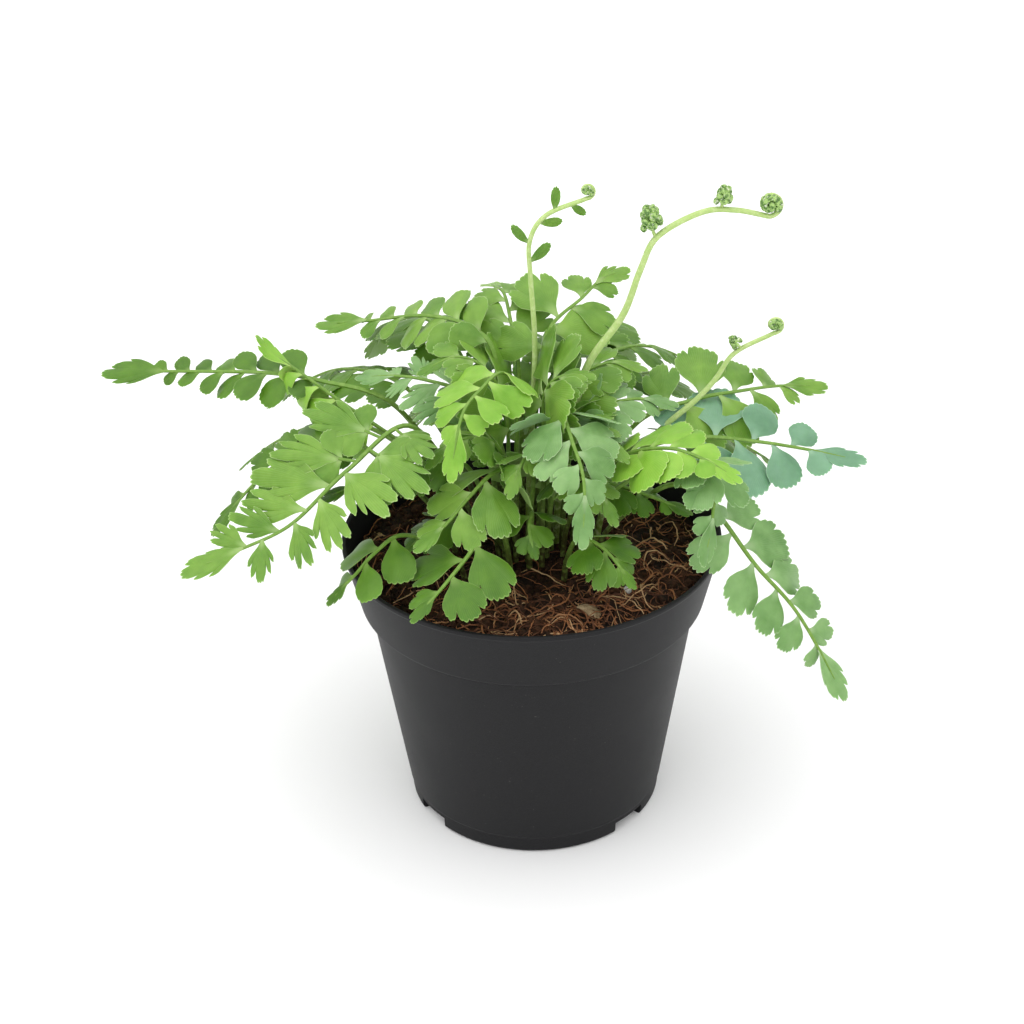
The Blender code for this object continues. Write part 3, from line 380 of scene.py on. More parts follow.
def smooth_line(points, count):
    """An even polyline on the smooth curve through the points."""
    pts = np.asarray(points, float)
    ends = np.vstack([2.0 * pts[0] - pts[1], pts, 2.0 * pts[-1] - pts[-2]])
    t = np.linspace(0.0, 1.0, 16, endpoint=False)[:, None]
    dense = []
    for a, b, c, d in zip(ends, ends[1:], ends[2:], ends[3:]):
        linear = 2.0 * b + (c - a) * t
        square = (2.0 * a - 5.0 * b + 4.0 * c - d) * t**2
        cube = (3.0 * b - a - 3.0 * c + d) * t**3
        dense.append(0.5 * (linear + square + cube))
    dense = np.vstack(dense + [pts[-1:]])
    return resample(dense, np.linspace(0.0, 1.0, count))


def stalk_line(spec, count=LINE_STEPS):
    """A stalk's centre line from its seat on the soil to its tip."""
    azimuth, radius = spec["seat"]
    x = radius * math.cos(math.radians(azimuth))
    y = radius * math.sin(math.radians(azimuth))
    root = (x, y, float(soil_height(x, y)) + ROOT_CLEARANCE)
    first = spec["route"][0]
    knee = (x + KNEE_ALONG * (first[0] - x), y + KNEE_ALONG * (first[1] - y),
            root[2] + KNEE_RISE * (first[2] - root[2]))
    return smooth_line((root, knee) + tuple(spec["route"]), count)


def unit(v):
    return v / np.linalg.norm(v, axis=-1, keepdims=True)


def frames(line, roll):
    """Unit tangents, side vectors and blade normals along a line."""
    tangent = unit(np.gradient(line, axis=0))
    heading = line[-1] - line[0]
    side = np.array([-heading[1], heading[0], 0.0])
    across = unit(side - (tangent @ side)[:, None] * tangent)
    normal = np.cross(tangent, across)
    c, s = math.cos(math.radians(roll)), math.sin(math.radians(roll))
    return tangent, across * c + normal * s, normal * c - across * s


def turn(a, b, angle):
    """Unit vectors a and b turned by an angle in radians from a towards b."""
    c, s = math.cos(angle), math.sin(angle)
    return a * c + b * s, b * c - a * s


def smoothstep(x, low, high):
    t = np.clip((x - low) / (high - low), 0.0, 1.0)
    return t * t * (3.0 - 2.0 * t)


class Shells:
    """Collects the closed shells of one piece, with what its materials read."""

    def __init__(self):
        self.count = 0
        self.points, self.faces, self.finish = [], [], []
        self.uv, self.tone, self.under = [], [], []

    def add(self, points, faces, uv=None, tone=0.5, under=0.0, finish=0):
        """Adds a shell of points in millimetres and faces of four corners."""
        n = len(points)
        self.points.append(np.asarray(points, float))
        self.faces.append(np.asarray(faces, int) + self.count)
        self.finish.append(np.full(len(faces), finish, np.int32))
        self.uv.append(np.zeros((n, 2)) if uv is None else np.asarray(uv, float))
        self.tone.append(np.broadcast_to(np.asarray(tone, float), (n,)))
        self.under.append(np.broadcast_to(np.asarray(under, float), (n,)))
        self.count += n

    def piece(self, name, finishes, node=None, sharp=55.0):
        """Makes and names the mesh object, rides it on the body and hides the plain part that it stands for.
        """
        mesh = bpy.data.meshes.new(name)
        points = np.vstack(self.points) * MM
        mesh.from_pydata(points.tolist(), [], np.vstack(self.faces).tolist())
        mesh.polygons.foreach_set("material_index", np.concatenate(self.finish))
        corners = np.zeros(len(mesh.loops), np.int32)
        mesh.loops.foreach_get("vertex_index", corners)
        layer = mesh.uv_layers.new(name="Leaf")
        layer.data.foreach_set("uv", np.vstack(self.uv)[corners].astype(np.float32).ravel())
        for key, values in (("tone", self.tone), ("under", self.under)):
            made = mesh.attributes.new(key, "FLOAT", "POINT")
            made.data.foreach_set("value", np.concatenate(values).astype(np.float32))
        for finish in finishes:
            mesh.materials.append(finish)
        mesh.shade_smooth()
        mesh.set_sharp_from_angle(angle=math.radians(sharp))
        mesh.validate()
        thing = bpy.data.objects.new(name, mesh)
        bpy.context.scene.collection.objects.link(thing)
        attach(thing, "root")
        if node:
            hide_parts(node)
        return thing


def grid_faces(rows, columns, close=False):
    """Corner numbers of the quads of a grid stored row by row."""
    i = np.arange(rows - 1)[:, None]
    j = np.arange(columns if close else columns - 1)[None, :]
    k = (j + 1) % columns
    a, b = i * columns + j, i * columns + k
    return np.stack([a, b, b + columns, a + columns], axis=-1).reshape(-1, 4)


def tube(shells, line, radii, across, normal, tone, finish, sides=STALK_SIDES, groove=0.0):
    """A round stalk with closed ends, of an even number of sides; a groove runs along its top."""
    a = np.linspace(0.0, 2.0 * math.pi, sides, endpoint=False)
    dip = 1.0 - groove * np.exp(-((np.cos(a * 0.5 - math.pi / 4.0) ** 2 - 1.0) / 0.06) ** 2)
    ring = across[:, None, :] * np.cos(a)[None, :, None] + normal[:, None, :] * np.sin(a)[None, :, None]
    body = line[:, None, :] + ring * (radii[:, None] * dip[None, :])[:, :, None]
    caps = [line[:1, None, :].repeat(sides, 1), line[-1:, None, :].repeat(sides, 1)]
    inner = [0.4 * body[:1] + 0.6 * caps[0], 0.4 * body[-1:] + 0.6 * caps[1]]
    points = np.concatenate([inner[0], body, inner[1]]).reshape(-1, 3)
    rows = len(line) + 2
    faces = grid_faces(rows, sides, close=True)
    ends = []
    last = (rows - 1) * sides
    for k in range(1, sides - 2, 2):
        ends.append((0, k, k + 1, k + 2))
        ends.append((last, last + k + 2, last + k + 1, last + k))
    tones = np.concatenate([[tone[0]], tone, [tone[-1]]]).repeat(sides)
    around = np.tile(a / (2.0 * math.pi), rows)
    along = np.linspace(0.0, 1.0, rows).repeat(sides)
    shells.add(points, np.vstack([faces, np.array(ends)[:, ::-1]]),
               uv=np.stack([around, along], axis=1), tone=tones, finish=finish)


# Leaflets

def leaflet_surface(form, length, rng):
    """Middle surface of a leaflet: (along, across, up) in millimetres, and its u and v."""
    teeth = form["teeth"]
    u = np.linspace(-1.0, 1.0, teeth * TOOTH_STEPS + 1)
    spread = math.radians(form["spread"]) * rng.uniform(0.92, 1.08)
    edge = 1.0 - (1.0 - form["side"]) * np.abs(u) ** form["power"]
    edge *= 1.0 + rng.uniform(-0.08, 0.08) * u
    cut = np.zeros_like(u)
    for place, depth, width in form["cuts"]:
        at = place + rng.uniform(-0.05, 0.05)
        at = round((at + 1.0) * teeth / 2.0) * 2.0 / teeth - 1.0
        reach = np.clip(1.0 - np.abs(u - at) / width, 0.0, 1.0)
        cut = np.maximum(cut, depth * rng.uniform(0.7, 1.2) * reach**2.4)
    scallop = np.abs(np.sin(0.5 * math.pi * teeth * (u + 1.0)))
    heights = rng.uniform(0.5, 1.4, teeth)[np.minimum((0.5 * (u + 1.0) * teeth).astype(int), teeth - 1)]
    ragged = form["tooth"] * heights * (scallop - 0.5) * (1.0 - np.abs(u) ** 8)
    U, V = np.meshgrid(u, np.array(RINGS))
    r = V * edge * (1.0 - cut * V) * (1.0 + ragged * V**3)
    a = spread * U * (form["waist"] + (1.0 - form["waist"]) * smoothstep(V, 0.0, 0.75))
    x, y = r * np.cos(a), r * np.sin(a) + U * FOOT_HALF_WIDTH / length
    phase = rng.uniform(0.0, 2.0 * math.pi, 3)
    bend = form["bend"] * rng.uniform(0.6, 1.4)
    lift = -form["cup"] * y * y + 0.018 * np.sin(5.0 * x + phase[0]) * np.cos(6.0 * y + phase[1])
    lift += 0.016 * np.sin(7.0 * U + phase[2]) * V**2 - 0.05 * cut * V**2
    turnings = bend * x
    px = np.sin(turnings) / bend + lift * np.sin(turnings)
    pz = (np.cos(turnings) - 1.0) / bend + lift * np.cos(turnings)
    return np.stack([px, y, pz], axis=-1) * length, U, V


def leaf_shell(shells, surface, U, V, tone, finish, thickness=LEAF_THICKNESS):
    """Closes a leaflet's surface into a thin body, thinner towards its margin."""
    rows, columns = U.shape
    normal = unit(np.cross(np.gradient(surface, axis=0), np.gradient(surface, axis=1)))
    half = 0.5 * thickness * (1.0 - 0.55 * smoothstep(V, 0.8, 1.0))[..., None]
    top, low = surface + normal * half, surface - normal * half
    n = rows * columns
    index = np.arange(n).reshape(rows, columns)
    faces = grid_faces(rows, columns)
    loop = np.concatenate([index[0, :-1], index[:-1, -1], index[-1, :0:-1], index[:0:-1, 0]])
    following = np.roll(loop, -1)
    rim = np.stack([loop, following, following + n, loop + n], axis=1)
    uv = np.stack([0.5 + 0.5 * U.ravel(), V.ravel()], axis=1)
    under = np.concatenate([np.zeros(n), np.ones(n)])
    shells.add(np.vstack([top.reshape(-1, 3), low.reshape(-1, 3)]),
               np.vstack([faces[:, ::-1], faces + n, rim]),
               uv=np.vstack([uv, uv]), tone=tone, under=under, finish=finish)


def add_leaflet(shells, form, root, along, wide, up, length, rng, finish=0):
    """One leaflet at a root point: it runs along, spreads wide and faces up."""
    wide, up = turn(wide, up, math.radians(rng.normal(0.0, 7.0)))
    along, up = turn(along, up, math.radians(rng.normal(0.0, 5.0)))
    surface, U, V = leaflet_surface(FORMS[form], length, rng)
    placed = root + surface[..., :1] * along + surface[..., 1:2] * wide + surface[..., 2:] * up
    leaf_shell(shells, placed, U, V, rng.uniform(0.0, 1.0), finish)


def add_terminal(shells, line, across, normal, start, rng, form="tip"):
    """The lobed blade at the end of a frond, which follows its stalk's curve."""
    steps = np.linalg.norm(np.diff(line, axis=0), axis=1)
    along = np.concatenate([[0.0], np.cumsum(steps)])
    first = start * along[-1]
    length = along[-1] - first
    flat = dict(FORMS[form], bend=0.05)
    surface, U, V = leaflet_surface(flat, length, rng)
    at = first + np.clip(surface[..., 0], 0.0, length)
    place, side, face = (
        np.stack([np.interp(at, along, v[:, k]) for k in range(3)], axis=-1)
        for v in (line, across, normal)
    )
    placed = place + side * surface[..., 1:2] + face * (surface[..., 2:] + 0.1)
    leaf_shell(shells, placed, U, V, rng.uniform(0.0, 1.0), 0)


def pinna_share(place):
    """Length of a pinna as a share of the longest, from the blade's foot (0) to its tip (1)."""
    return min(0.78 + 0.9 * place, 1.0, 1.0 - 0.76 * (place - 0.25))


def add_split_pinna(shells, root, along, wide, up, length, rng):
    """A stalked pinna with a lobed fan and two small ovals at the fan's foot."""
    stem = 0.17 * length
    line = root + along * np.linspace(0.0, stem + 1.0, 5)[:, None]
    radii = np.full(5, 0.5)
    tube(shells, line, radii, np.tile(wide, (5, 1)), np.tile(up, (5, 1)), np.full(5, 0.7), 1, sides=8)
    foot = root + along * stem
    add_leaflet(shells, "cut", foot, along, wide, up, length - stem, rng)
    for sign in (1.0, -1.0):
        a, w = turn(along, wide, sign * math.radians(rng.uniform(52.0, 64.0)))
        add_leaflet(shells, "oval", foot, a, w, up, 0.38 * length, rng)


def make_frond(number, row, finishes):
    """One frond: a grooved stalk, its leaflets and the lobed blade at its end."""
    spec = dict(zip(FROND_KEYS, row))
    style = STYLES.get(spec["name"], PLAIN_STYLE)
    form = style["form"]
    rng = np.random.default_rng(1000 + number)
    line = stalk_line(spec)
    tangent, across, normal = frames(line, spec["roll"])
    shells = Shells()
    share = np.linspace(0.0, 1.0, LINE_STEPS)
    stop = int(0.95 * LINE_STEPS)
    radii = STALK_RADIUS * (1.0 - STALK_TAPER * share) * (1.0 - 0.8 * smoothstep(share, 0.84, 0.97))
    every = slice(0, stop, 3)
    tube(shells, line[every], radii[every], across[every], normal[every], share[every], 1, groove=0.3)
    first = style.get("first", spec["bare"])
    count = 2 * style.get("pairs", spec["pairs"])
    for k in range(count):
        at = first + (TERMINAL_START - first) * (k + 0.5) / count
        i = int(round(at * (LINE_STEPS - 1)))
        sign = 1.0 if k % 2 == 0 else -1.0
        place = k / (count - 1.0)
        size, base, tip = style.get("left" if sign > 0.0 else "right", PLAIN_SIDE)
        angle = math.radians(base + (tip - base) * place + rng.normal(0.0, 4.0))
        fold = math.radians(spec["fold"])
        outward, up = turn(across[i] * sign, normal[i], fold)
        along, wide = turn(tangent[i], outward, angle)
        length = pinna_share(place) * spec["span"] * size * rng.uniform(0.92, 1.08)
        if form == "cut" and place < SPLIT_PLACE:
            add_split_pinna(shells, line[i], along, wide * sign, up, length, rng)
        else:
            add_leaflet(shells, form, line[i], along, wide * sign, up, length, rng)
    add_terminal(shells, line, across, normal, TERMINAL_START - TERMINAL_OVERLAP, rng)
    slot = "blue_green_leaf" if spec["name"] in BLUE_SLOT else "leaf"
    slot = "young_leaf" if spec["name"] in YOUNG_SLOT else slot
    coats = (finishes[style["finish"]], finishes["stalk"])
    shells.piece(spec["name"] + "_leaves", coats, spec["name"])


# Materials

def linear(colour):
    """Display colour of 0 to 255 as a linear one."""
    out = []
    for c in colour:
        c /= 255.0
        out.append(c / 12.92 if c <= 0.04045 else ((c + 0.055) / 1.055) ** 2.4)
    return (*out, 1.0)


class Nodes:
    """A material's node tree with short calls for the nodes used here."""

    def __init__(self, name, roughness, specular=0.5):
        self.material = bpy.data.materials.new(name)
        self.material.use_nodes = True
        self.tree = self.material.node_tree
        self.shader = self.tree.nodes["Principled BSDF"]
        self.shader.inputs["Roughness"].default_value = roughness
        self.shader.inputs["Specular IOR Level"].default_value = specular

    def new(self, kind, **inputs):
        made = self.tree.nodes.new(kind)
        for key, value in inputs.items():
            self.plug(value, made.inputs[key])
        return made

    def plug(self, value, socket):
        if isinstance(value, bpy.types.NodeSocket):
            self.tree.links.new(value, socket)
        else:
            socket.default_value = value

    def to_shader(self, **inputs):
        for key, value in inputs.items():
            self.plug(value, self.shader.inputs[key.replace("_", " ")])

    def math(self, operation, *values, clamp=False):
        made = self.tree.nodes.new("ShaderNodeMath")
        made.operation = operation
        made.use_clamp = clamp
        for value, socket in zip(values, made.inputs):
            self.plug(value, socket)
        return made.outputs[0]

    def step(self, value, low, high):
        """0 below low, 1 above high, and smooth between."""
        made = self.tree.nodes.new("ShaderNodeMapRange")
        made.interpolation_type = "SMOOTHSTEP"
        self.plug(value, made.inputs["Value"])
        made.inputs["From Min"].default_value = low
        made.inputs["From Max"].default_value = high
        return made.outputs["Result"]

    def mix(self, factor, a, b, blend="MIX"):
        made = self.tree.nodes.new("ShaderNodeMix")
        made.data_type = "RGBA"
        made.blend_type = blend
        made.clamp_factor = True
        self.plug(factor, made.inputs[0])
        self.plug(a, made.inputs[6])
        self.plug(b, made.inputs[7])
        return made.outputs[2]

    def place(self):
        return self.tree.nodes.new("ShaderNodeTexCoord").outputs["Object"]

    def noise(self, scale, detail=3.0, roughness=0.55, where=None):
        made = self.new("ShaderNodeTexNoise", Scale=scale, Detail=detail, Roughness=roughness)
        self.tree.links.new(where or self.place(), made.inputs["Vector"])
        return made.outputs["Fac"]

    def attribute(self, name):
        made = self.tree.nodes.new("ShaderNodeAttribute")
        made.attribute_name = name
        return made.outputs["Fac"]

    def bump(self, height, distance, strength=1.0):
        made = self.new("ShaderNodeBump", Strength=strength, Distance=distance, Height=height)
        self.tree.links.new(made.outputs[0], self.shader.inputs["Normal"])


def leaf_finish(name, colours):
    """A satin leaf: mottled green, fanned veins, a pale margin and a paler underside."""
    shade, light, margin, underside = (linear(c) for c in colours)
    n = Nodes(name, 0.42, 0.36)
    uv = n.tree.nodes.new("ShaderNodeUVMap")
    uv.uv_map = "Leaf"
    split = n.new("ShaderNodeSeparateXYZ", Vector=uv.outputs[0])
    u, v = split.outputs[0], split.outputs[1]
    mottle = n.noise(160.0, 4.0)
    fine = n.noise(1500.0, 2.0)
    wander = n.math("MULTIPLY", mottle, 2.5)
    coarse = n.math("SINE", n.math("MULTIPLY_ADD", u, 100.0, wander))
    forked = n.math("SINE", n.math("MULTIPLY_ADD", u, 200.0, wander))
    fork = n.step(v, 0.4, 0.6)
    swing = n.math("ADD", n.math("MULTIPLY", coarse, n.math("SUBTRACT", 1.0, fork)),
                   n.math("MULTIPLY", forked, fork))
    vein = n.math("POWER", n.math("MULTIPLY_ADD", swing, 0.5, 0.5), 3.0, clamp=True)
    patch = n.math("MULTIPLY", n.attribute("tone"), 0.45)
    blotch = n.math("MULTIPLY_ADD", mottle, 1.1, -0.2)
    green = n.mix(n.math("ADD", patch, blotch, clamp=True), shade, light)
    green = n.mix(n.math("MULTIPLY", vein, 0.07), green, margin)
    foot = n.math("MULTIPLY", n.math("SUBTRACT", 1.0, n.step(v, 0.02, 0.35)), 0.45)
    green = n.mix(foot, green, margin)
    outer = n.step(v, 0.968, 0.995)
    sides = n.step(n.math("ABSOLUTE", n.math("SUBTRACT", u, 0.5)), 0.482, 0.498)
    rim = n.math("MULTIPLY", n.math("MAXIMUM", outer, sides), 0.5)
    green = n.mix(rim, green, margin)
    under = n.attribute("under")
    green = n.mix(n.math("MULTIPLY", under, 0.85), green, underside)
    rough = n.math("MULTIPLY_ADD", under, 0.15, n.math("MULTIPLY_ADD", mottle, 0.16, 0.36))
    n.to_shader(Base_Color=green, Roughness=rough)
    n.bump(n.math("ADD", n.math("MULTIPLY", vein, 0.3), n.math("MULTIPLY", fine, 0.5)), 0.00014, 0.5)
    n.shader.inputs["Subsurface Weight"].default_value = 0.22
    n.shader.inputs["Subsurface Radius"].default_value = (0.5, 1.0, 0.25)
    n.shader.inputs["Subsurface Scale"].default_value = 0.0006
    return n.material


def stalk_finish(name, foot, tip, streak):
    """A ribbed stalk, brown-green at its foot and paler upwards; its colours are its own brown-green,
    darkened partly as painted shade under the fronds.
    """
    n = Nodes(name, 0.5, 0.4)
    height = n.attribute("tone")
    ribs = n.noise(600.0, 3.0)
    green = n.mix(n.step(height, 0.0, 0.45), linear(foot), linear(tip))
    green = n.mix(n.math("MULTIPLY", n.step(ribs, 0.45, 0.65), 0.4), green, linear(streak))
    n.to_shader(Base_Color=green)
    n.bump(ribs, 0.00015, 0.6)
    n.shader.inputs["Subsurface Weight"].default_value = 0.15
    n.shader.inputs["Subsurface Radius"].default_value = (0.5, 1.0, 0.25)
    n.shader.inputs["Subsurface Scale"].default_value = 0.0006
    return n.material


def pot_finish():
    """Matte black plastic with a fine grain and a little dust."""
    n = Nodes("pot_plastic", 0.52, 0.18)
    grain = n.noise(2600.0, 3.0, 0.7)
    cloud = n.noise(28.0, 4.0)
    dust = n.step(n.noise(900.0, 2.0, 0.6), 0.70, 0.80)
    black = n.mix(n.step(grain, 0.35, 0.7), linear((18, 18, 19)), linear((27, 27, 29)))
    black = n.mix(n.math("MULTIPLY", cloud, 0.35), black, linear((35, 35, 37)))
    black = n.mix(n.math("MULTIPLY", dust, 0.25), black, linear((112, 108, 102)))
    n.to_shader(Base_Color=black, Roughness=n.math("MULTIPLY_ADD", cloud, 0.16, 0.44))
    n.bump(n.math("ADD", grain, n.math("MULTIPLY", cloud, 0.6)), 0.00010, 0.5)
    return n.material


def soil_finish(name, dark, brown, rust):
    """Damp peat: near-black with brown and rusty patches, broken up finely."""
    n = Nodes(name, 0.9, 0.25)
    coarse = n.noise(90.0, 5.0, 0.65)
    fine = n.noise(700.0, 4.0, 0.7)
    colour = n.mix(n.step(coarse, 0.40, 0.66), linear(dark), linear(brown))
    colour = n.mix(n.math("MULTIPLY", n.step(fine, 0.52, 0.72), 0.6), colour, linear(rust))
    colour = n.mix(n.math("MULTIPLY", n.attribute("tone"), 0.35), colour, linear(brown))
    n.to_shader(Base_Color=colour)
    n.bump(n.math("MULTIPLY_ADD", coarse, 1.2, fine), 0.0011, 0.9)
    return n.material


def fibre_finish():
    """Coir fibres from dark rust to straw."""
    n = Nodes("coir", 0.62, 0.35)
    tone = n.attribute("tone")
    colour = n.mix(n.step(tone, 0.15, 0.7), linear((88, 52, 30)), linear((172, 114, 72)))
    colour = n.mix(n.step(tone, 0.72, 1.0), colour, linear((224, 186, 138)))
    colour = n.mix(n.math("MULTIPLY", n.noise(500.0), 0.35), colour, linear((60, 34, 20)))
    n.to_shader(Base_Color=colour)
    n.bump(n.noise(1800.0), 0.0001, 0.5)
    return n.material


def plain_mottle(name, dark, light, scale, roughness, depth):
    """A dull natural finish of two colours mixed by noise, with a bump."""
    n = Nodes(name, roughness, 0.3)
    coarse = n.noise(scale, 4.0, 0.6)
    fine = n.noise(6.0 * scale, 3.0, 0.6)
    colour = n.mix(n.step(n.math("MULTIPLY_ADD", fine, 0.4, coarse), 0.5, 0.95), linear(dark), linear(light))
    n.to_shader(Base_Color=colour)
    n.bump(n.math("ADD", coarse, fine), depth, 0.8)
    return n.material


def bead_finish():
    """The rolled young leaflets: dark and light green flecks under whitish scales."""
    n = Nodes("young_beads", 0.5, 0.4)
    fleck = n.noise(900.0, 3.0, 0.7)
    scale = n.step(n.noise(1300.0, 2.0, 0.6), 0.58, 0.66)
    colour = n.mix(n.step(fleck, 0.38, 0.60), linear((70, 112, 42)), linear((168, 202, 118)))
    colour = n.mix(n.math("MULTIPLY", scale, 0.75), colour, linear((228, 236, 208)))
    n.to_shader(Base_Color=colour)
    n.bump(n.math("ADD", fleck, scale), 0.0002, 0.8)
    return n.material


# Pot

def mesh_object(name, mesh):
    thing = bpy.data.objects.new(name, mesh)
    bpy.context.scene.collection.objects.link(thing)
    return thing


def turned(profile, sides, close=False):
    """Points and faces of a profile of (radius, height) turned about the axis."""
    a = np.linspace(0.0, 2.0 * math.pi, sides, endpoint=False)
    p = np.asarray(profile, float)
    x, y = p[:, :1] * np.cos(a), p[:, :1] * np.sin(a)
    z = np.repeat(p[:, 1:], sides, axis=1)
    points = np.stack([x, y, z], axis=-1).reshape(-1, 3)
    faces = grid_faces(len(p), sides, close=True)
    if close:
        last = (len(p) - 1) * sides
        j = np.arange(sides)
        k = (j + 1) % sides
        faces = np.vstack([faces, np.stack([last + j, last + k, k, j], axis=1)])
    return points, faces


def rounded(profile, radius, steps=4):
    """A closed profile with each of its corners rounded by an arc-like curve."""
    p = np.asarray(profile, float)
    out = []
    for before, corner, after in zip(np.roll(p, 1, 0), p, np.roll(p, -1, 0)):
        a, b = before - corner, after - corner
        ra = min(radius, 0.4 * np.linalg.norm(a)) * unit(a)
        rb = min(radius, 0.4 * np.linalg.norm(b)) * unit(b)
        for t in np.linspace(0.0, 1.0, steps):
            out.append(corner + ra * (1.0 - t) ** 2 + rb * t**2)
    return out


def notch_tool(azimuth):
    """A box that cuts one drainage notch out of the foot ring."""
    bm = bmesh.new()
    bmesh.ops.create_cube(bm, size=1.0)
    size = (3.0 * FOOT_RING_WIDTH, NOTCH_WIDTH, NOTCH_HEIGHT + 2.0)
    bmesh.ops.scale(bm, verts=bm.verts, vec=[s * MM for s in size])
    mesh = bpy.data.meshes.new("notch_tool")
    bm.to_mesh(mesh)
    bm.free()
    a = math.radians(azimuth)
    tool = mesh_object("notch_tool", mesh)
    x, y = FOOT_RADIUS * math.cos(a), FOOT_RADIUS * math.sin(a)
    tool.location = Vector((x, y, 0.5 * NOTCH_HEIGHT - 1.0)) * MM
    tool.rotation_euler = (0.0, 0.0, a)
    return tool


def drain_tool(number):
    """A round cutter for one drainage hole in the pot's floor."""
    bm = bmesh.new()
    radius = DRAIN_RADIUS * MM
    bmesh.ops.create_cone(bm, cap_ends=True, segments=40, radius1=radius, radius2=radius, depth=5.2 * MM)
    mesh = bpy.data.meshes.new("drain_tool")
    bm.to_mesh(mesh)
    bm.free()
    a = math.radians(DRAIN_START) + 2.0 * math.pi * number / DRAIN_COUNT
    tool = mesh_object("drain_tool", mesh)
    tool.location = Vector((DRAIN_CIRCLE * math.cos(a), DRAIN_CIRCLE * math.sin(a), FLOOR_RAISE)) * MM
    return tool


def make_pot(finish):
    """The pot with rounded edges, its rim band and lip, the foot ring and the drainage cuts."""
    band_foot = POT_HEIGHT - BAND_HEIGHT
    lip = POT_HEIGHT - LIP_HEIGHT
    ring_inside = FOOT_RADIUS - FOOT_RING_WIDTH
    top = FLOOR_RAISE + FLOOR_THICKNESS
    profile = [
        (RIM_RADIUS, POT_HEIGHT),
        (RIM_RADIUS, lip),
        (RIM_RADIUS - LIP_STEP, lip - 0.3),
        (BAND_FOOT_RADIUS, band_foot + 0.8),
        (BAND_FOOT_RADIUS - 0.7, band_foot),
        (BODY_TOP_RADIUS, band_foot - 0.4),
        (BODY_FOOT_RADIUS + 0.2, FOOT_HEIGHT + 0.6),
        (BODY_FOOT_RADIUS - 0.3, FOOT_HEIGHT),
        (FOOT_RADIUS + 0.3, 1.0),
        (FOOT_RADIUS - 0.6, 0.0),
        (ring_inside, 0.0),
        (ring_inside, FLOOR_RAISE),
        (PAD_RADIUS + FLOOR_THICKNESS, FLOOR_RAISE),
        (PAD_RADIUS, 0.0),
        (0.6, 0.0),
        (0.6, FLOOR_THICKNESS),
        (PAD_RADIUS - FLOOR_THICKNESS, FLOOR_THICKNESS),
        (PAD_RADIUS, top),
        (wall_inside(top), top),
        (wall_inside(band_foot - 0.5), band_foot - 0.5),
        (wall_inside(band_foot + 1.0), band_foot + 1.0),
        (RIM_RADIUS - WALL, POT_HEIGHT),
    ]
    points, faces = turned(rounded(profile, 0.55), POT_SIDES, close=True)
    mesh = bpy.data.meshes.new("pot_shell")
    mesh.from_pydata((points * MM).tolist(), [], faces[:, ::-1].tolist())
    pot = mesh_object("pot_shell", mesh)
    tools = [notch_tool(azimuth) for azimuth in NOTCH_AZIMUTHS]
    tools += [drain_tool(k) for k in range(DRAIN_COUNT)]
    for tool in tools:
        take = pot.modifiers.new(tool.name, "BOOLEAN")
        take.operation = "DIFFERENCE"
        take.solver = "EXACT"
        take.object = tool
    bpy.context.view_layer.update()
    graph = bpy.context.evaluated_depsgraph_get()
    pot.data = bpy.data.meshes.new_from_object(pot.evaluated_get(graph))
    pot.modifiers.clear()
    for tool in tools:
        bpy.data.objects.remove(tool)
    pot.data.materials.clear()
    pot.data.materials.append(finish)
    pot.data.shade_smooth()
    pot.data.set_sharp_from_angle(angle=math.radians(32.0))
    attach(pot, "root")
    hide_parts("pot")


# Soil and what lies on it

def value_noise(x, y, seed):
    """Smooth noise from -1 to 1 on a plane, repeated for equal input."""
    i, j = np.floor(x).astype(int), np.floor(y).astype(int)
    fx, fy = smoothstep(x - i, 0.0, 1.0), smoothstep(y - j, 0.0, 1.0)

    def corner(a, b):
        h = np.sin(a * 127.1 + b * 311.7 + seed * 74.7) * 43758.5453
        return 2.0 * (h - np.floor(h)) - 1.0

    low = corner(i, j) * (1.0 - fx) + corner(i + 1, j) * fx
    high = corner(i, j + 1) * (1.0 - fx) + corner(i + 1, j + 1) * fx
    return low * (1.0 - fy) + high * fy


def crumbly(x, y):
    """Height added to the soil's top by lumps and crumbs."""
    total = np.zeros_like(x)
    for k, (size, height) in enumerate(((14.0, 0.9), (6.0, 0.7), (2.6, 0.55), (1.2, 0.35))):
        total += height * value_noise(x / size + 3.1 * k, y / size - 1.7 * k, k + 1.0)
    return total


def make_soil(finish):
    """The root ball: it fills the pot, with a crumbly top."""
    band_foot = POT_HEIGHT - BAND_HEIGHT
    edge = wall_inside(SOIL_EDGE) - SOIL_GAP
    floor_top = FLOOR_RAISE + FLOOR_THICKNESS
    rings = np.linspace(0.35, edge, SOIL_RINGS)
    lower = ((wall_inside(band_foot + 1.0) - SOIL_GAP, band_foot + 1.0),
             (wall_inside(band_foot - 0.5) - SOIL_GAP, band_foot - 0.5),
             (wall_inside(floor_top) - SOIL_GAP, floor_top + SOIL_GAP),
             (0.35, floor_top + SOIL_GAP))
    profile = [(r, SOIL_EDGE) for r in rings] + list(lower)
    points, faces = turned(profile, SOIL_SIDES, close=True)
    top = SOIL_RINGS * SOIL_SIDES
    x, y = points[:top, 0], points[:top, 1]
    points[:top, 2] = soil_height(x, y) + crumbly(x, y) - 0.4
    shells = Shells()
    shells.add(points, faces[:, ::-1], tone=0.0)
    shells.piece("soil_ball", (finish,), "soil", sharp=80.0)


def soil_top(x, y):
    x, y = np.asarray(x, float), np.asarray(y, float)
    return soil_height(x, y) + crumbly(x, y) - 0.4


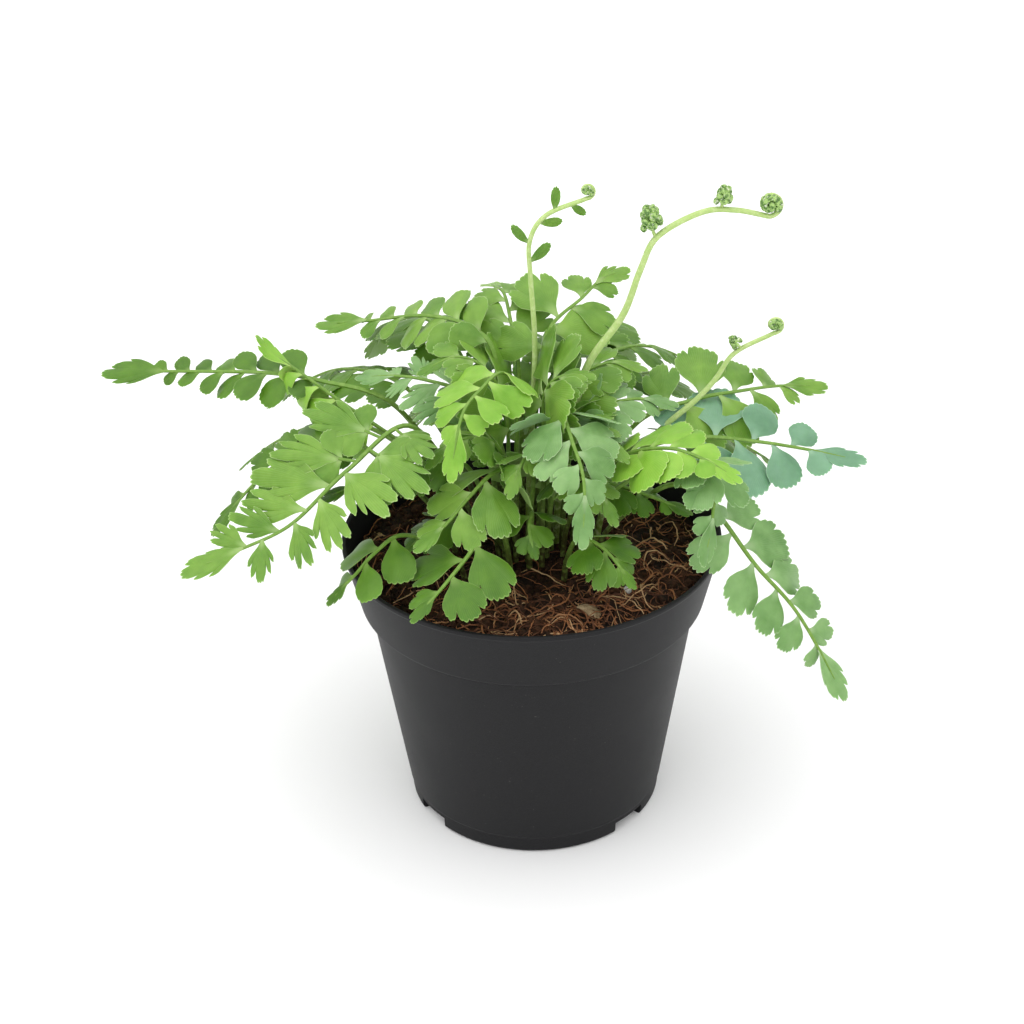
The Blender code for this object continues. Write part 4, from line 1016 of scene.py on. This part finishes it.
def ball(steps=6):
    """Points and four-cornered faces of a rough ball, a cube swollen to a sphere."""
    points, faces = [], []
    t = np.linspace(-1.0, 1.0, steps)
    A, B = np.meshgrid(t, t)
    for axis in range(3):
        for side in (-1.0, 1.0):
            p = np.zeros((steps, steps, 3))
            p[..., axis] = side
            p[..., (axis + 1) % 3] = A * side
            p[..., (axis + 2) % 3] = B
            faces.append(grid_faces(steps, steps) + len(points) * steps * steps)
            points.append(unit(p).reshape(-1, 3))
    points, faces = np.vstack(points), np.vstack(faces)
    keys = [tuple(p) for p in np.round(points, 5)]
    first = {}
    order = [first.setdefault(key, len(first)) for key in keys]
    merged = np.zeros((len(first), 3))
    merged[order] = points
    return merged, np.array(order)[faces]


def make_crumbs(finish):
    """Loose crumbs and bits of bark on the soil."""
    rng = np.random.default_rng(7)
    points, faces = ball(4)
    shells = Shells()
    reach = wall_inside(SOIL_EDGE) - 2.5
    for _ in range(CRUMB_COUNT):
        r, a = reach * math.sqrt(rng.uniform(0.02, 1.0)), rng.uniform(0.0, 2.0 * math.pi)
        x, y = r * math.cos(a), r * math.sin(a)
        size = rng.uniform(0.35, 1.0) ** 2 * 1.7
        shape = size * rng.uniform(0.55, 1.35, 3)
        lumps = 1.0 + 0.22 * np.sin(points @ rng.normal(0.0, 3.0, (3, 1)) + rng.uniform(0.0, 6.0))
        spin = Matrix.Rotation(rng.uniform(0.0, 6.28), 3, rng.normal(0.0, 1.0, 3))
        placed = (points * lumps * shape) @ np.array(spin).T
        z = float(soil_top(x, y)) + 0.25 * size
        shells.add(placed + (x, y, z), faces, tone=rng.uniform(0.0, 1.0))
    shells.piece("soil_crumbs", (finish,), sharp=50.0)


def fibre_line(rng, x, y, heading, length, curl, rise):
    """A fibre's line: it wanders over the soil and arches off it between its ends."""
    steps = 22
    turns = np.cumsum(rng.normal(0.0, 0.16, steps) + curl) + heading
    step = length / steps
    px, py = x + np.cumsum(np.cos(turns)) * step, y + np.cumsum(np.sin(turns)) * step
    r = np.hypot(px, py)
    limit = wall_inside(SOIL_EDGE) - 1.2
    pull = np.minimum(1.0, limit / np.maximum(r, 1.0e-6))
    px, py = px * pull, py * pull
    share = np.linspace(0.0, 1.0, steps)
    arch = rise * np.sin(math.pi * share) + 0.25 * np.sin(9.0 * share + heading)
    return np.stack([px, py, soil_top(px, py) + 0.25 + np.maximum(arch, -0.1)], axis=1)


def make_fibres(finish):
    """Coir fibres on the soil, densest towards the front of the rim."""
    rng = np.random.default_rng(21)
    shells = Shells()
    for _ in range(FIBRE_COUNT):
        front = rng.uniform() < 0.62
        a = math.radians(rng.normal(285.0, 42.0)) if front else rng.uniform(0.0, 2.0 * math.pi)
        r = rng.uniform(30.0, 55.0) if front else 55.0 * math.sqrt(rng.uniform(0.05, 1.0))
        length, curl = rng.uniform(5.0, 24.0), rng.normal(0.0, 0.10)
        line = fibre_line(rng, r * math.cos(a), r * math.sin(a), rng.uniform(0.0, 6.28),
                          length, curl, abs(rng.normal(0.0, 1.3)))
        _, across, normal = frames(line, 0.0)
        thick = rng.uniform(0.09, 0.26)
        radii = thick * (1.0 - 0.6 * np.abs(np.linspace(-1.0, 1.0, len(line))) ** 3)
        tube(shells, line, radii, across, normal, np.full(len(line), rng.uniform(0.0, 1.0)), 0, sides=6)
    shells.piece("coir_fibres", (finish,))


def make_rhizome(finish):
    """The scaly stock that the stalks rise from."""
    rng = np.random.default_rng(5)
    low, high = (np.array(c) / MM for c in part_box("rhizome"))
    centre, size = 0.5 * (low + high), 0.5 * (high - low)
    points, faces = ball(22)
    lumps = 1.0 + 0.08 * np.sin(6.0 * points[:, :1] + 2.0) * np.sin(7.0 * points[:, 1:2])
    shells = Shells()
    shells.add(centre + points * lumps * size * 0.97, faces, tone=0.4)
    for _ in range(SCALE_COUNT):
        n = unit(rng.normal(0.0, 1.0, 3))
        foot = centre + n * size * 0.93
        side = unit(np.cross(n, (0.2, 0.3, 1.0)))
        lift = unit(n * 0.45 + (0.0, 0.0, 0.9))
        line = foot + lift * np.linspace(0.0, rng.uniform(1.2, 2.8), 5)[:, None]
        radii = np.linspace(0.32, 0.05, 5)
        tube(shells, line, radii, np.tile(side, (5, 1)), np.tile(np.cross(lift, side), (5, 1)),
             np.full(5, 0.9), 0, sides=6)
    shells.piece("rhizome_stock", (finish,), "rhizome", sharp=60.0)


def make_grain(finish):
    """The white grain, lumpy and angular."""
    low, high = (np.array(c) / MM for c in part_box("perlite_grain"))
    points, faces = ball(14)
    lumps = 1.0 + 0.10 * np.sin(5.0 * points[:, :1] + 1.0) * np.cos(6.0 * points[:, 1:2] + points[:, 2:])
    shells = Shells()
    shells.add(0.5 * (low + high) + points * lumps * 0.5 * (high - low) * 0.95, faces)
    shells.piece("perlite", (finish,), "perlite_grain")


def make_flake(finish):
    """The dry leaf flake: a thin curled scrap with a ragged outline."""
    low, high = (np.array(c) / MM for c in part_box("dead_leaf_flake"))
    rng = np.random.default_rng(3)
    surface, U, V = leaflet_surface(FORMS["flake"], high[0] - low[0], rng)
    root = np.array((low[0], 0.5 * (low[1] + high[1]), low[2] + 1.6))
    shells = Shells()
    leaf_shell(shells, root + surface, U, V, 0.5, 0, 0.35)
    shells.piece("dead_leaf", (finish,), "dead_leaf_flake")


# Croziers

def curl_line(start, radius, turns, steps=90):
    """A flat spiral that rises from its start, turns back over the stalk and tightens."""
    share = np.arange(1, steps + 1) / steps
    a = -0.5 * math.pi + 2.0 * math.pi * turns * share
    r = radius * (1.0 - 0.70 * share)
    return np.stack([start[0] + r * np.cos(a), np.full(steps, start[1]),
                     start[2] + radius + r * np.sin(a)], axis=1)


def add_bead(shells, centre, radius, axis, rng):
    """A rolled leaflet: a squat ball with a spiral groove."""
    points, faces = ball(12)
    side = unit(np.cross(axis, (0.31, 0.17, 0.93)))
    other = np.cross(axis, side)
    angle = np.arctan2(points[:, 1], points[:, 0])
    polar = np.arccos(np.clip(points[:, 2], -1.0, 1.0))
    groove = 1.0 - 0.13 * np.clip(np.sin(angle * 2.0 + 5.0 * polar + rng.uniform(0.0, 6.0)), 0.0, 1.0) ** 2
    p = points * groove[:, None] * radius * np.array((1.0, 0.86, 0.72))
    shells.add(centre + p[:, :1] * side + p[:, 1:2] * other + p[:, 2:] * axis, faces,
               tone=rng.uniform(0.0, 1.0), finish=1)


def add_bud(shells, foot, head, radius, rng):
    """A rolled pinna on its own stalk: rows of beads climbing to a small coil."""
    reach = head - foot
    side = unit(np.cross(reach, (0.0, 1.0, 0.0)))
    share = np.linspace(0.0, 1.0, 12)[:, None]
    line = foot + reach * share + side * 0.35 * np.sin(math.pi * share)
    _, across, normal = frames(line + np.array((0.0, 1.0e-4, 0.0)) * share, 0.0)
    tube(shells, line, np.linspace(0.55, 0.35, 12), across, normal, np.full(12, 0.9), 0, sides=8)
    for k in range(BUD_BEADS):
        t = (k + 0.5) / BUD_BEADS
        centre = head + unit(reach) * radius * (1.5 * t - 0.75)
        swing = 2.4 * k
        out = side * math.cos(swing) + np.array((0.0, 0.8, 0.0)) * math.sin(swing)
        spread = radius * (0.70 - 0.38 * t)
        add_bead(shells, centre + out * spread, radius * rng.uniform(0.36, 0.50), unit(out), rng)


def add_young_leaflets(shells, line, tangent, normal, across, rng):
    """Narrow leaflets that have opened below the coil."""
    for at, side, length in YOUNG_LEAFLETS:
        i = int(at * (CROZIER_STEPS - 1))
        along, wide = turn(tangent[i], side * normal[i], math.radians(58.0))
        add_leaflet(shells, "lance", line[i], along, side * wide, -across[i], length, rng, finish=2)


def make_crozier(number, row, finishes):
    """A young frond: a ribbed stalk with a coiled tip, beads of rolled leaflets and buds."""
    spec = dict(zip(CROZIER_KEYS, row))
    rng = np.random.default_rng(300 + number)
    stem = stalk_line(spec, CROZIER_STEPS)
    coil = curl_line(stem[-1], spec["curl"], spec["turns"])
    line = np.vstack([stem, coil])
    tangent = unit(np.gradient(line, axis=0))
    flat = np.array([0.0, 1.0, 0.0])
    across = unit(flat - (tangent @ flat)[:, None] * tangent)
    normal = np.cross(tangent, across)
    share = np.minimum(1.0, np.arange(len(line)) / (CROZIER_STEPS - 1.0))
    radii = spec["foot"] + (spec["neck"] - spec["foot"]) * share
    radii[CROZIER_STEPS:] *= np.linspace(1.0, 0.45, len(coil))
    shells = Shells()
    tube(shells, line, radii, across, normal, share, 0, sides=14, groove=0.25)
    centre = coil.mean(axis=0)
    for k in range(COIL_BEADS):
        at = coil[int((0.10 + 0.88 * k / (COIL_BEADS - 1.0)) * (len(coil) - 1))]
        out = unit(at - centre + 1.0e-6)
        lean = np.array((0.0, -0.9 if k % 2 else 0.9, 0.0))
        add_bead(shells, at + lean * spec["neck"] - out * 0.5, spec["curl"] * 0.34, unit(lean + out), rng)
    if spec["name"] == "crozier_left":
        add_young_leaflets(shells, line, tangent, normal, across, rng)
    else:
        for at, dx, dz, radius in spec["buds"]:
            foot = resample(stem, [at])[0]
            add_bud(shells, foot, foot + np.array((dx, 0.0, dz)), radius, rng)
    coats = (finishes["young_stalk"], finishes["beads"], finishes["sage"])
    shells.piece(spec["name"] + "_stalk", coats, spec["name"])



# Stage

def make_camera():
    """The camera at the photographed angle, rolled slightly about its own axis."""
    e, roll = math.radians(CAMERA_ELEVATION), math.radians(CAMERA_ROLL)
    back = Vector((0.0, -math.cos(e), math.sin(e)))
    right, up = Vector((1.0, 0.0, 0.0)), Vector((0.0, math.sin(e), math.cos(e)))
    side = right * math.cos(roll) + up * math.sin(roll)
    rise = up * math.cos(roll) - right * math.sin(roll)
    data = bpy.data.cameras.new("camera")
    data.lens = CAMERA_LENS
    data.sensor_width = 36.0
    data.clip_start, data.clip_end = 0.05, 20.0
    camera = mesh_object("camera", data)
    place = (Vector(CAMERA_TARGET) + back * CAMERA_DISTANCE) * MM
    turn_matrix = Matrix((side, rise, back)).transposed().to_4x4()
    camera.matrix_world = Matrix.Translation(place) @ turn_matrix
    bpy.context.scene.camera = camera


def make_light():
    """An even white world, brighter above, and one soft key from the upper left."""
    world = bpy.data.worlds.new("studio")
    world.use_nodes = True
    tree = world.node_tree
    background = tree.nodes["Background"]
    where = tree.nodes.new("ShaderNodeTexCoord")
    split = tree.nodes.new("ShaderNodeSeparateXYZ")
    climb = tree.nodes.new("ShaderNodeMapRange")
    climb.inputs["From Min"].default_value = -0.1
    climb.inputs["From Max"].default_value = 0.9
    climb.inputs["To Min"].default_value = WORLD_LOW
    climb.inputs["To Max"].default_value = WORLD_HIGH
    tree.links.new(where.outputs["Generated"], split.inputs[0])
    tree.links.new(split.outputs[2], climb.inputs["Value"])
    tree.links.new(climb.outputs["Result"], background.inputs["Strength"])
    background.inputs["Color"].default_value = (1.0, 1.0, 1.0, 1.0)
    bpy.context.scene.world = world
    key = bpy.data.lights.new("key", "SUN")
    key.energy = KEY_STRENGTH
    key.angle = math.radians(KEY_ANGLE)
    lamp = mesh_object("key", key)
    lamp.rotation_euler = Vector((0.35, 0.45, -1.0)).to_track_quat("-Z", "Y").to_euler()


def make_floor():
    """A plain pale floor."""
    half = 0.5 * FLOOR_SIZE * MM
    mesh = bpy.data.meshes.new("floor")
    corners = [(-half, -half, 0.0), (half, -half, 0.0), (half, half, 0.0), (-half, half, 0.0)]
    mesh.from_pydata(corners, [], [(0, 1, 2, 3)])
    n = Nodes("floor", 0.9, 0.0)
    n.shader.inputs["Base Color"].default_value = (0.93, 0.93, 0.93, 1.0)
    mesh.materials.append(n.material)
    mesh_object("floor", mesh)


def main():
    bpy.context.scene.view_settings.view_transform = "Standard"
    make_camera()
    make_light()
    make_floor()
    finishes = {name: leaf_finish("leaf_" + name, colours) for name, colours in FINISHES.items()}
    # stalk colours: its own brown-green, darkened partly as painted shade under the fronds
    finishes["stalk"] = stalk_finish("stalk", (58, 54, 20), (106, 144, 52), (140, 172, 84))
    finishes["young_stalk"] = stalk_finish("young_stalk", (104, 130, 40), (176, 202, 122), (214, 226, 168))
    finishes["beads"] = bead_finish()
    make_pot(pot_finish())
    make_soil(soil_finish("soil", (24, 16, 10), (58, 38, 24), (104, 66, 40)))
    make_crumbs(soil_finish("crumbs", (30, 20, 12), (76, 48, 30), (124, 82, 52)))
    make_fibres(fibre_finish())
    make_rhizome(plain_mottle("rhizome", (34, 22, 14), (92, 64, 40), 300.0, 0.85, 0.0006))
    make_grain(plain_mottle("perlite", (200, 200, 192), (244, 244, 238), 900.0, 0.8, 0.0002))
    make_flake(plain_mottle("dead_leaf", (120, 96, 66), (190, 168, 132), 400.0, 0.8, 0.0002))
    for number, row in enumerate(CROZIERS):
        make_crozier(number, row, finishes)
    for number, row in enumerate(FRONDS):
        make_frond(number, row, finishes)


main()
